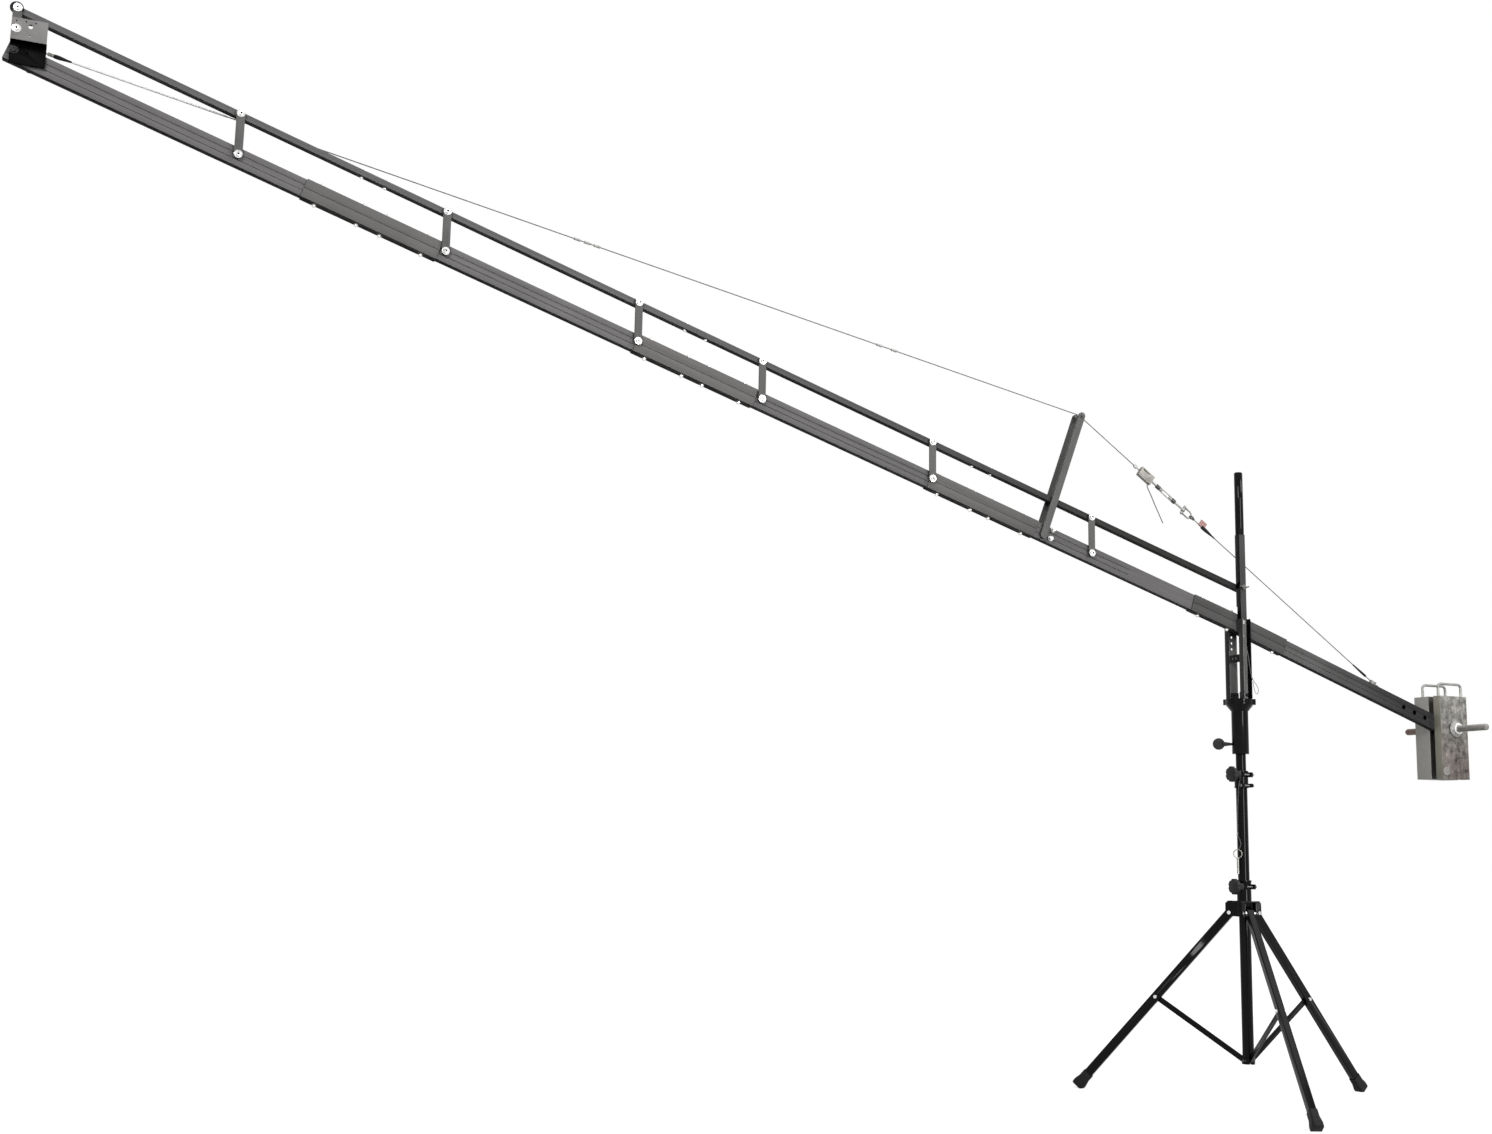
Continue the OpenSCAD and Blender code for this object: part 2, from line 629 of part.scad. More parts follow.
// Anchors at the cable's two ends, each with a thimble
module thimble(r, t) rotate([90, 0, 0]) rotate_extrude() translate([r, 0]) circle(r = t);
module cable_anchors() {
  color(paint)
    on_boom()
      translate([-front_anchor_s, 0, 0])
        difference() {
          translate([0, half_w, 0]) yslab(0, 4)
            translate([0, -22]) rotate(90) stadium(front_w + 22, 22);
          translate([0, 0, front_w]) ycyl(rivet_r + fit, 0, 40);
          for (w = [-14, 6]) translate([0, 0, w]) ycyl(rivet_r + fit, 0, 40);
        }
  color(bright)
    on_boom()
      translate([-front_anchor_s, 0, 0]) {
        translate([0, 0, front_w]) {
          ycyl(rivet_r, half_w - 2, front_y + 6);
          yhex(rivet_r + 3, front_y + 4, front_y + 8);
          yhex(rivet_r + 3, half_w - 5, half_w);
        }
        for (w = [-14, 6]) translate([0, 0, w]) {
          ycyl(rivet_r, 4, half_w + 7);
          yhex(rivet_r + 3, half_w + 4, half_w + 8);
        }
        translate([0, front_y, front_w]) rotate([0, front_slope, 0]) eye_ring(21.5);
      }
  color(paint)
    on_rear()
      translate([rear_anchor_u, 0, boom_top])
        difference() {
          union() {
            span(-18, 18, 20, 0, 4);
            yslab(-4, 4) {
              translate([0, rear_lug_h]) circle(r = 6);
              translate([-6, 0]) square([12, rear_lug_h]);
            }
          }
          translate([0, 0, rear_lug_h]) ycyl(rivet_r + fit, -20, 20);
        }
  color(bright)
    on_boom() translate([-rear_s, 0, rear_w]) rotate([0, rear_slope, 0]) {
      difference() {
        yslab(-7.5, 7.5) rotate(180) {
          circle(r = 6);
          translate([0, -5]) square([fork_l, 10]);
        }
        translate([-11, -4.3, -10]) cube([40, 8.6, 20]);
        ycyl(rivet_r + 0.5 * fit, -20, 20);
      }
      ycyl(rivet_r, -12, 12);
      for (y = [-1, 1]) yhex(rivet_r + 2.5, y > 0 ? 7.6 : -11, y > 0 ? 11 : -7.6);
    }
}
module eye_ring(l) difference() {
  yslab(-2.5, 2.5) {
    circle(r = 8);
    translate([0, -4]) square([l, 8]);
  }
  ycyl(rivet_r + 0.6, -4, 4);
}

// Grip that locks the cable's tail, and the tail itself
module cable_grip() color(steel)
  on_stay(grip_s)
    difference() {
      union() {
        translate([-31, -8, -18]) cube([62, 16, 36]);
        translate([-31, -9.5, -12]) cube([46, 19, 24]);
      }
      translate([-31 + 8, -12, 8]) cube([30, 24, 5]);
      xcyl(cable_r + fit, -40, 0);
      xcyl(link_r + fit, 8, 40);
    }
// Route of the tail, along the stay and square to it, from the grip's centre
tail_path = [[24, 0, -18], [24, 0, -21], [26, 0, -26], [35, 0, -33], [60, 0, -46],
  [90, 0, -63], [124, 0, -81], [156, 0, -98]];
module grip_tail() color(steel) on_stay(grip_s) {
  sweep(tail_path, cable_r);
}

// Turnbuckle, its two threaded ends and the shackle
link_r = 4;
grip_x = -(grip_s - buckle_s) / cos(rear_slope);
bow_r = 13;
bow_l = 28;
module cable_links() color(steel)
  on_stay(buckle_s) {
    xcyl(link_r, grip_x + 10, -18);
    difference() {
      union() {
        xcyl(link_r, 18, shackle_x);
        translate([shackle_x, 0, -5]) cylinder(r = 8, h = 10);
      }
      translate([shackle_x, 0, -9]) cylinder(r = rivet_r + fit, h = 18);
    }
    translate([shackle_x, 0, 0]) shackle();
    translate([thimble_x, 0, 0]) rotate([90, 0, 0]) difference() {
      yslab(-2.5, 2.5) {
        circle(r = 9.5);
        translate([0, -4]) square([14, 8]);
      }
      ycyl(6.4, -4, 4);
    }
  }
module shackle() {
  translate([0, 0, -bow_r - 6]) cylinder(r = rivet_r, h = 2 * bow_r + 12);
  for (z = [-1, 1]) translate([0, 0, z * bow_r]) {
    xcyl(3, 0, bow_l);
    translate([0, 0, -4]) cylinder(r = 5, h = 8);
  }
  translate([bow_l, 0, 0]) rotate([90, 0, 0]) rotate([0, 0, -90])
    rotate_extrude(angle = 180) translate([bow_r, 0]) circle(r = 3);
}
module turnbuckle_body() color(bright)
  on_stay(buckle_s) {
    for (e = [-1, 1]) difference() {
      xcyl(8, e > 0 ? buckle_l / 2 - 16 : -buckle_l / 2, e > 0 ? buckle_l / 2 : 16 - buckle_l / 2);
      xcyl(link_r + run, -buckle_l, buckle_l);
    }
    for (z = [-1, 1]) translate([0, 0, z * 6.4]) xcyl(2, 15 - buckle_l / 2, buckle_l / 2 - 15);
  }

// Counterweights
module weight_bar() color(steel)
  at_bar() {
    ycyl(bar_r, -half_w - near_slab_t + 2, bar_far);
    ycyl(bar_r - 0.4, -bar_near, -half_w - near_slab_t + 2.5);
  }
module at_bar() translate([bar_x, 0, bar_z]) children();
module slab(y0, y1, handle_y) {
  difference() {
    union() {
      translate([-slab_w / 2 - 4, y0, -slab_low]) cube([slab_w, y1 - y0, slab_h]);
      translate([-4, handle_y, slab_h - slab_low]) handle();
    }
    ycyl(bar_r + fit, y0 - 1, y1 + 1);
  }
}
bend_r = 14;
module handle() {
  for (x = [-1, 1]) {
    translate([x * handle_x, 0, -2]) cylinder(r = handle_r, h = handle_h - bend_r + 2);
    translate([x * (handle_x - bend_r), 0, handle_h - bend_r])
      rotate([90, 0, 0]) rotate([0, 0, x > 0 ? 0 : 90])
        rotate_extrude(angle = 90) translate([bend_r, 0]) circle(r = handle_r);
  }
  translate([0, 0, handle_h]) xcyl(handle_r, bend_r - handle_x, handle_x - bend_r);
}
module weight_near() color(slab_steel) at_bar() {
  slab(-half_w - near_slab_t, -half_w, -half_w - near_slab_t / 2);
}
module weight_far() color(slab_steel) at_bar() {
  slab(half_w, half_w + far_slab_t, half_w + far_slab_t / 2);
}
module bar_nut() color(bright) at_bar()
  difference() {
    y0 = -half_w - near_slab_t - seat;
    union() {
      ycyl(31, y0 - 7, y0);
      ycyl(21, y0 - 20, y0 - 6);
    }
    ycyl(bar_r - 0.4 + run, y0 - 30, y0 + 1);
  }

// Yoke that carries the boom
module channel_profile() {
  difference() {
    translate([-channel_w / 2, 0]) square([channel_w, channel_d]);
    translate([-channel_w / 2 + yoke_wall, yoke_wall]) square([channel_w - 2 * yoke_wall, channel_d]);
  }
}
module channel() difference() {
  translate([0, 0, yoke_base_z]) linear_extrude(web_top - yoke_base_z) channel_profile();
  translate([channel_w / 2 - 5, -1, web_top - 5]) difference() {
    cube([6, 2 * channel_d, 6]);
    ycyl(5, 0, 3 * channel_d);
  }
}
module near_channel() color(paint)
  difference() {
    translate([0, -yoke_gap, 0]) mirror([0, 1, 0]) channel();
    translate([0, 0, pivot_z]) ycyl(shaft_r + fit, -2 * yoke_gap, 0);
    for (p = near_dots) translate([p[0], 0, p[1]]) ycyl(rivet_r + fit, -2 * yoke_gap, 0);
    translate([-10, 0, pivot_z - 28]) ycyl(3, -2 * yoke_gap, 0);
    for (x = [-1, 1]) translate([x * 8, 0, yoke_base_z + 14]) ycyl(rivet_r + fit, -2 * yoke_gap, 0);
  }
near_dots = [[-9, pivot_z - 14], [-5, pivot_z - 51]];
module far_channel() color(paint)
  difference() {
    translate([0, yoke_gap, 0]) channel();
    translate([0, 0, pivot_z]) ycyl(shaft_r + fit, 0, 2 * yoke_gap);
    for (z = [50, 72, 94]) translate([-5, 0, pivot_z - z]) ycyl(4.5, 0, 2 * yoke_gap);
    for (x = [-1, 1]) translate([x * 8, 0, yoke_base_z + 14]) ycyl(rivet_r + fit, 0, 2 * yoke_gap);
  }
module yoke_crossbar() color(paint)
  difference() {
    translate([-channel_w / 2, -yoke_gap, crossbar_z]) cube([8, 2 * yoke_gap, 28]);
    for (y = [-1, 1]) translate([-channel_w, y * 9, crossbar_z + 14]) xcyl(2.5, 0, channel_w);
  }
lug_h = 26;
module yoke_bolts() color(bright) {
  for (p = near_dots) translate([p[0], 0, p[1]]) {
    ycyl(rivet_r, -far_web - 2, -tongue_in);
    ycyl(rivet_r + 2.6, -far_web - 4, -far_web);
  }
  for (y = [-1, 1], x = [-1, 1])
    translate([x * 8, 0, yoke_base_z + 14]) {
      ycyl(rivet_r, y > 0 ? yoke_gap - 6 : -far_web - 3, y > 0 ? far_web + 3 : -yoke_gap + 6);
      yhex(rivet_r + 3, y > 0 ? far_web : -far_web - 4, y > 0 ? far_web + 4 : -far_web);
    }
}
tongue_in = 21;
module tilt_shaft() color(bright)
  translate([0, 0, pivot_z]) {
    ycyl(shaft_r, -far_web - 4, far_web + 4);
    for (y = [-1, 1]) {
      yhex(shaft_r + 3, y > 0 ? far_web : -far_web - 5, y > 0 ? far_web + 5 : -far_web);
    }
    for (y = [[-tongue_in, -sleeve_half - seat], [sleeve_half + seat, yoke_gap]])
      difference() {
        ycyl(shaft_r + 4, y[0], y[1]);
        ycyl(shaft_r + 0.5 * fit, -2 * yoke_gap, 2 * yoke_gap);
      }
  }
module pan_sleeve() color(black)
  difference() {
    union() {
      rotate_extrude()
        polygon([
          [inner_r + seat, pan_z], [pan_r, pan_z], [pan_r, pan_top - 24], [43, pan_top - 8],
          [46, pan_top - 4], [50, pan_top + 2], [50, pan_top + 8], [48, pan_top + 10],
          [50, pan_top + 12], [50, yoke_base_z], [0, yoke_base_z], [0, pan_top - 30],
          [inner_r + seat, pan_top - 30], [inner_r + seat, pan_top - 60], [pan_r - 4, pan_top - 64],
          [pan_r - 4, pan_z + 24], [inner_r + seat, pan_z + 20]
        ]);
      translate([-41, -41, pan_top]) cube([82, 82, base_h]);
      for (y = [-1, 1])
        translate([-channel_w / 2 + yoke_wall + fit, y > 0 ? yoke_gap - 8 : -yoke_gap, yoke_base_z - 1])
          cube([channel_w - 2 * yoke_wall - 2 * fit, 8, lug_h]);
    }
    for (y = [-1, 1], x = [-1, 1])
      translate([x * 8, 0, yoke_base_z + 14]) ycyl(rivet_r + fit, -2 * yoke_gap, 2 * yoke_gap);
    rotate([0, 0, pan_knob_az]) translate([0, 0, pan_knob_z]) xcyl(clamp_bolt_r + run, pan_r - 6, pan_r + 1);
  }
pan_knob_az = 150;
pan_knob_z = pan_z + 36;

// Monitor post beside the yoke, tied to it by a tongue
module monitor_post() color(paint)
  difference() {
    union() {
      translate([0, monitor_y, monitor_low]) linear_extrude(monitor_top - monitor_low)
        difference() {
          square(monitor_w, center = true);
          square(monitor_w - 4, center = true);
        }
      translate([-(monitor_w / 2 - 2.2), tongue_y, pivot_z - 56]) cube([monitor_w - 4.4, -tongue_in - tongue_y, 140]);
    }
    translate([-monitor_w, -17.7, monitor_low - 1]) cube([2 * monitor_w, monitor_w, 48]);
    translate([0, 0, pivot_z]) ycyl(shaft_r + fit, -2 * yoke_gap, 0);
    for (p = near_dots) translate([p[0], 0, p[1]]) ycyl(rivet_r + fit, -2 * yoke_gap, 0);
    translate([0, 0, rod_pivot_z]) ycyl(shaft_r + fit, -2 * yoke_gap, 0);
  }
module monitor_sleeve() color(black)
  translate([0, monitor_y, monitor_top])
    rotate_extrude()
      polygon([[0, 0], [14.5, 0], [15.5, 1.5], [15.5, monitor_sleeve_l - 4], [13, monitor_sleeve_l], [0, monitor_sleeve_l]]);
module rod_pivot_bolt() color(bright)
  translate([0, 0, rod_pivot_z]) {
    post_face = monitor_y - monitor_w / 2;
    ycyl(shaft_r, post_face - 9, half_w + 6);
    yhex(shaft_r + 3, half_w + seat, half_w + 6);
    ycyl(9, post_face - 6, post_face);
    for (x = [-1, 1])
      translate([x * 12, 0, 0]) yslab(post_face - 12, post_face - 3) rotate(x > 0 ? 20 : -20) square([12, 5], center = true);
  }

// Stand column
module column_outer() color(black)
  difference() {
    translate([0, 0, foot_hub_z + foot_hub_h]) cylinder(r = column_r, h = collar_z + collar_h - 14 - foot_hub_z - foot_hub_h);
    translate([0, 0, foot_hub_z]) cylinder(r = inner_r + seat, h = collar_z);
    brace_slots();
  }
slot_w = brace_t + 2;
slot_top = brace_pin_z + 26;
module brace_slots()
  for (i = [0:2]) at_leg(i)
    translate([2.5, -slot_w / 2, foot_hub_z - 1]) cube([50, slot_w, slot_top - foot_hub_z]);
module bottom_hub() color(black)
  difference() {
    union() {
      translate([0, 0, foot_hub_z]) cylinder(r = foot_hub_r, h = foot_hub_h);
      translate([0, 0, foot_hub_z + foot_hub_h - 1]) cylinder(r = inner_r + seat - fit, h = 40);
    }
    brace_slots();
    for (i = [0:2]) at_leg(i)
      translate([brace_pin_r, 0, brace_pin_z]) ycyl(rivet_r + fit, -20, 20);
  }
module stand_rivets() color(bright) {
  for (i = [0:2]) at_leg(i)
    translate([brace_pin_r, 0, brace_pin_z]) ycyl(rivet_r, -17, 17);
  for (z = [collar_low_z])
    translate([0, clamp_y, z]) {
      xcyl(clamp_bolt_r, -lug_x - lug_w - 2, lug_x + lug_w + 2);
      xhex(6, -lug_x - lug_w - 6, -lug_x - lug_w);
      xhex(6, lug_x + lug_w, lug_x + lug_w + 6);
    }
}
module clamp_lugs(h) for (x = [-1, 1])
  translate([x > 0 ? lug_x : -lug_x - lug_w, clamp_y - 7, -h / 2]) cube([lug_w, 24, h]);
module clamp_bore() xcyl(clamp_bolt_r + run, -60, 60);
module column_collar() color(black)
  difference() {
    union() {
      translate([0, 0, collar_z]) cylinder(r = column_r + 4, h = collar_h);
      for (z = [0, collar_h - 6]) translate([0, 0, collar_z + z]) cylinder(r = column_r + 5, h = 6);
      translate([0, 0, collar_clamp_z]) clamp_lugs(18);
      translate([0, 0, collar_low_z]) clamp_lugs(14);
    }
    translate([0, 0, collar_z - 1]) cylinder(r = column_r + fit, h = collar_h - 13 + fit);
    cylinder(r = inner_r + seat, h = 2 * collar_z);
    for (z = [collar_clamp_z, collar_low_z]) translate([0, clamp_y, z]) clamp_bore();
  }
module inner_column() color(black)
  difference() {
    translate([0, 0, inner_z]) cylinder(r = inner_r, h = pan_top - 30 - seat - inner_z);
    translate([0, 0, inner_z + 4]) cylinder(r = inner_r - 2, h = pan_top - 40 - inner_z);
  }

// Clamp knob: a broad fluted disc on a through screw, turning about X
knob_r = 28;
knob_x = -70;
module clamp_knob(z) translate([0, clamp_y, z]) {
  color(rubber_black)
    difference() {
      union() {
        xcyl(knob_r, knob_x, knob_x + 12);
        xcyl(13, knob_x + 11, -lug_x - lug_w - 8);
      }
      for (k = [0:5]) rotate([60 * k + 30, 0, 0]) translate([0, 0, knob_r + 5]) xcyl(8, knob_x - 1, knob_x + 13);
    }
  color(bright) {
    xcyl(clamp_bolt_r, -lug_x - lug_w - 9, lug_x + lug_w + 8);
    xhex(6, lug_x + lug_w + seat, lug_x + lug_w + 6);
  }
}
module hub_knob() clamp_knob(hub_clamp_z);
module collar_knob() clamp_knob(collar_clamp_z);
module pan_knob() color(rubber_black)
  rotate([0, 0, pan_knob_az]) translate([0, 0, pan_knob_z]) {
    xcyl(clamp_bolt_r, inner_r + 1, pan_r + 6);
    translate([pan_r + seat, 0, 0]) rotate([0, 90, 0]) cylinder(r1 = 4.5, r2 = 9, h = 34);
    translate([77, 0, 0]) ycyl(21, -4.5, 4.5);
  }

// Leg hub: a sleeve on the column with three open boxes for the legs
box_w = 43;
box_wall = 3;
box_out = 64;
hub_r = 31;
module leg_hub() color(black)
  difference() {
    union() {
      translate([0, 0, hub_low - 0.5]) cylinder(r = hub_r, h = hub_top - hub_low + 1);
      translate([0, 0, hub_top - 5]) cylinder(r = column_r + 5, h = neck_top - hub_top + 5);
      translate([0, 0, neck_top - 8]) cylinder(r = column_r + 6.5, h = 8);
      for (i = [0:2]) at_leg(i) yslab(-box_w / 2, box_w / 2)
        polygon([[21, hub_low], [box_out, hub_low], [box_out, hub_top - 9], [box_out - 9, hub_top], [21, hub_top]]);
      translate([0, 0, hub_clamp_z]) clamp_lugs(18);
    }
    translate([0, 0, hub_low - 2]) cylinder(r = column_r + seat, h = neck_top - hub_low + 4);
    for (i = [0:2]) at_leg(i) {
      translate([hub_r + 2.5, box_wall - box_w / 2, hub_low - 1])
        cube([box_out, box_w - 2 * box_wall, hub_top - hub_low - box_wall + 1]);
      translate([pin_r, 0, pin_z]) ycyl(leg_pin_r + fit, -box_w, box_w);
    }
    translate([0, clamp_y, hub_clamp_z]) clamp_bore();
  }
leg_pin_r = 4;
module leg_pins() color(bright)
  for (i = [0:2]) at_leg(i) translate([pin_r, 0, pin_z]) {
    ycyl(leg_pin_r, -box_w / 2 - 3, box_w / 2 + 3);
    for (y = [-1, 1]) {
      ycyl(leg_pin_r + 2.5, y > 0 ? box_w / 2 : -box_w / 2 - 3, y > 0 ? box_w / 2 + 3 : -box_w / 2);
      difference() {
        ycyl(leg_pin_r + 5, y > 0 ? leg_w / 2 + seat : box_wall - box_w / 2, y > 0 ? box_w / 2 - box_wall : -leg_w / 2 - seat);
        ycyl(leg_pin_r + 0.5 * fit, -box_w, box_w);
      }
    }
  }
leg_wall = 2;
leg_corner = 4;
foot_start = leg_l - 64;
module leg(i) at_leg(i) on_leg() {
  color(black)
    difference() {
      union() {
        rotate([0, 90, 0]) linear_extrude(leg_l - 18) round_rect(leg_d, leg_w, leg_corner);
        ycyl(leg_d / 2, -leg_w / 2, leg_w / 2);
      }
      translate([14, 0, 0]) rotate([0, 90, 0]) linear_extrude(leg_l)
        round_rect(leg_d - 2 * leg_wall, leg_w - 2 * leg_wall, leg_corner - 1.5);
      ycyl(leg_pin_r + run, -leg_w, leg_w);
      translate([knee_l - 17, -slot_w / 2, -leg_d]) cube([36, slot_w, leg_d]);
      translate([knee_l, 0, 0]) ycyl(rivet_r + fit, -leg_w, leg_w);
    }
  color(bright)
    translate([knee_l, 0, 0]) {
      ycyl(rivet_r, -leg_w / 2 - 1, leg_w / 2 + 1);
      for (y = [-1, 1])
        ycyl(rivet_r + 3, y > 0 ? leg_w / 2 : -leg_w / 2 - 5, y > 0 ? leg_w / 2 + 5 : -leg_w / 2);
    }
}
module foot_slab(l, grow) translate([l, 0, 0]) rotate([0, 90, 0])
  linear_extrude(2) round_rect(leg_d + 5 + grow, leg_w + 5 + grow, 6 + grow / 2, $fn = 32);
module foot(i) color(rubber_black)
  at_leg(i)
    difference() {
      on_leg() difference() {
        union() {
          translate([foot_start, 0, 0]) rotate([0, 90, 0])
            linear_extrude(27) round_rect(leg_d + 5, leg_w + 5, 6);
          hull() {
            foot_slab(foot_start + 26, 0);
            foot_slab(leg_l - 16, 9);
            foot_slab(leg_l - 2, 8);
          }
        }
        rotate([0, 90, 0]) linear_extrude(leg_l - 18 + seat)
          round_rect(leg_d + 2 * seat, leg_w + 2 * seat, leg_corner + seat);
      }
      translate([0, -100, -100]) cube([2 * leg_l, 200, 100]);
    }
module brace(i) color(black)
  at_leg(i) on_brace()
    difference() {
      yslab(-brace_t / 2, brace_t / 2) stadium(brace_l, brace_h);
      ycyl(rivet_r + run, -brace_t, brace_t);
      translate([brace_l, 0, 0]) ycyl(rivet_r + 3, -brace_t, brace_t);
    }

// Safety pin on its ring, hanging from the collar by a thin cord
pin_x = -31;
pin_y = -9;
view_turn = 52;
module safety_pin() color(bright)
  translate([pin_x, pin_y, 0]) {
    translate([0, 0, 794]) cylinder(r = 4, h = 55);
    translate([0, 0, 849]) sphere(r = 4.6);
    translate([0, 0, 866]) rotate([0, 0, -view_turn]) rotate([90, 0, 0])
      rotate_extrude() translate([15, 0]) circle(r = 1.6);
  }
lanyard_r = 1;
pin_cord = [[-23, -30, 1144], [-25.5, -30, 1144], [-27, -29, 1138], [-28, -28, 1130], [-31, -27, 1118],
  [-31, -24, 1104], [-27, -18, 1092], [-25, -12, 1070],
  [-26, -9, 1030], [-27, -8, 990], [-28, -8, 955], [-30, -9, 934], [-23, -14, 915], [-22, -16, 898],
  [-26, -13, 886], [-31, -9, 884.5]];
module pin_lanyard() color(steel) {
  sweep(pin_cord, lanyard_r, 8, [1, 1, 0]);
}
yoke_cord = [[-5, -36, 1653], [-5, -38.5, 1653], [-5, -41, 1648], [-4, -45, 1634], [-2, -52, 1606], [1, -57, 1575], [5, -58, 1540],
  [10, -58, 1512], [15, -58, 1496], [26, -58, 1484], [36, -58, 1470], [41, -58, 1456],
  [36, -58, 1443], [28, -58, 1446], [22, -58, 1462], [19, -58, 1478], [18, -58, 1487]];
module yoke_lanyard() color(steel) {
  sweep(yoke_cord, lanyard_r, 8, [1, 1, 0]);
}

column_outer();
bottom_hub();
stand_rivets();
column_collar();
safety_pin();
pin_lanyard();
leg_hub();
leg_pins();
hub_knob();
collar_knob();
pan_knob();
inner_column();
leg(0);  // leg_1
leg(1);  // leg_2
leg(2);  // leg_3
foot(0);  // foot_1
foot(1);  // foot_2
foot(2);  // foot_3
brace(0);  // brace_1
brace(1);  // brace_2
brace(2);  // brace_3
pan_sleeve();
near_channel();
far_channel();
yoke_crossbar();
yoke_bolts();
tilt_shaft();
monitor_post();
monitor_sleeve();
rod_pivot_bolt();
yoke_lanyard();
boom_tubes();
boom_rear();
splice_sleeves();
fulcrum_sleeve();
splice_bolts();
boom_bolts();
king_post();
stay_cable();
cable_crimps();
cable_anchors();
cable_grip();
grip_tail();
cable_links();
weight_bar();
weight_near();
weight_far();
bar_nut();
cable_roller();
turnbuckle_body();
top_rod();
rod_bolts();
post(0);  // post_1
post(1);  // post_2
post(2);  // post_3
post(3);  // post_4
post(4);  // post_5
post(5);  // post_6
head_link();
camera_plate();
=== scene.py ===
import json
import math

import bmesh
import bpy
from mathutils import Matrix, Vector

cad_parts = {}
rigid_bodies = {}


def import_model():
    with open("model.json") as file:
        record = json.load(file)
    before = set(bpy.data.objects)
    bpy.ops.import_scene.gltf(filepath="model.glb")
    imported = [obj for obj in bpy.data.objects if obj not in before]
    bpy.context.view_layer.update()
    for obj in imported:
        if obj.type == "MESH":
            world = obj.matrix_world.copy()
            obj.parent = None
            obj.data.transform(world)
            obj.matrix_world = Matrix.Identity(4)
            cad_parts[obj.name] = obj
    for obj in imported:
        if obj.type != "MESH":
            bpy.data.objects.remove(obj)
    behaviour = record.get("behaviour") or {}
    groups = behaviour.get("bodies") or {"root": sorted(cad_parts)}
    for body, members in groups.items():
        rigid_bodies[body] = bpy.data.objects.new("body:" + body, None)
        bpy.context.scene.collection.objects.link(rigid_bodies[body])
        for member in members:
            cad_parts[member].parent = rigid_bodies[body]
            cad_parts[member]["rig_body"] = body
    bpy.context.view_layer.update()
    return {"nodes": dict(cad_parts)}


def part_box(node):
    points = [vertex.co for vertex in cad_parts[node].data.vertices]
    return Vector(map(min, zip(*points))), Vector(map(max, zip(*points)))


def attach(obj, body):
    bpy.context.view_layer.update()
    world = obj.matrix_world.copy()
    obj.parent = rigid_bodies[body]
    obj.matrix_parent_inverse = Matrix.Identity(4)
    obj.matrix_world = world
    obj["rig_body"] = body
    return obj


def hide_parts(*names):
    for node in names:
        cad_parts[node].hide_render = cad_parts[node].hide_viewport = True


# Camera jib crane on its stand, seen from the front left and a little below the boom.
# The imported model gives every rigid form; each section below finishes one group of its pieces.
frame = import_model()
nodes = frame["nodes"]

# Viewpoint
# A level tripod position in front of the head end, 0.88 m above the floor.
# The lens keeps the whole crane in a 36 mm wide frame.
eye = Vector((-3.990, -5.132, 0.881))
heading, rise, lean = -0.3773, 0.1585, 0.0207
look = Vector((-math.sin(heading) * math.cos(rise), math.cos(heading) * math.cos(rise), math.sin(rise)))
level = Vector((math.cos(heading), math.sin(heading), 0.0))
up = level.cross(look)
side = level * math.cos(lean) + up * math.sin(lean)
top = up * math.cos(lean) - level * math.sin(lean)
lens = bpy.data.cameras.new("viewpoint")
lens.sensor_width = 36.0
lens.lens = 41.115
lens.clip_end = 200.0
camera = bpy.data.objects.new("viewpoint", lens)
camera.matrix_world = Matrix.Translation(eye) @ Matrix((side, top, -look)).transposed().to_4x4()
bpy.context.scene.collection.objects.link(camera)
bpy.context.scene.camera = camera
bpy.context.scene.view_settings.view_transform = "Standard"

# Studio
# A white room: a pale floor that keeps the shadows of the feet, a tall lamp in front that draws one
# narrow highlight down each black tube, and weaker ones high at both sides and overhead.
world = bpy.data.worlds.new("white_room")
bpy.context.scene.world = world
world.use_nodes = True
room = world.node_tree
room.nodes.clear()


def joined(tree, start, end):
    tree.links.new(start, end)


def arithmetic(tree, kind, *amounts):
    node = tree.nodes.new("ShaderNodeMath")
    node.operation = kind
    for socket, amount in zip(node.inputs, amounts):
        if isinstance(amount, (int, float)):
            socket.default_value = amount
        else:
            joined(tree, amount, socket)
    return node.outputs[0]


def seen_directly(tree):
    """One where a ray comes straight from the camera, a mirror or a clear body, and nothing elsewhere."""
    rays = tree.nodes.new("ShaderNodeLightPath")
    mirrored = arithmetic(tree, "MAXIMUM", rays.outputs["Is Camera Ray"], rays.outputs["Is Glossy Ray"])
    return arithmetic(tree, "MAXIMUM", mirrored, rays.outputs["Is Transmission Ray"])


white = room.nodes.new("ShaderNodeBackground")
white.inputs["Color"].default_value = (1, 1, 1, 1)
white.inputs["Strength"].default_value = 1.0
soft = room.nodes.new("ShaderNodeBackground")
soft.inputs["Color"].default_value = (0.97, 0.985, 1, 1)
soft.inputs["Strength"].default_value = 0.12
either = room.nodes.new("ShaderNodeMixShader")
sky = room.nodes.new("ShaderNodeOutputWorld")
joined(room, seen_directly(room), either.inputs["Fac"])
joined(room, soft.outputs[0], either.inputs[1])
joined(room, white.outputs[0], either.inputs[2])
joined(room, either.outputs[0], sky.inputs["Surface"])


def lamp(name, place, aim, width, height, watts):
    light = bpy.data.lights.new(name, "AREA")
    light.shape = "RECTANGLE"
    light.size, light.size_y, light.energy = width, height, watts
    body = bpy.data.objects.new(name, light)
    body.location = place
    body.rotation_euler = (Vector(aim) - Vector(place)).to_track_quat("-Z", "Y").to_euler()
    bpy.context.scene.collection.objects.link(body)


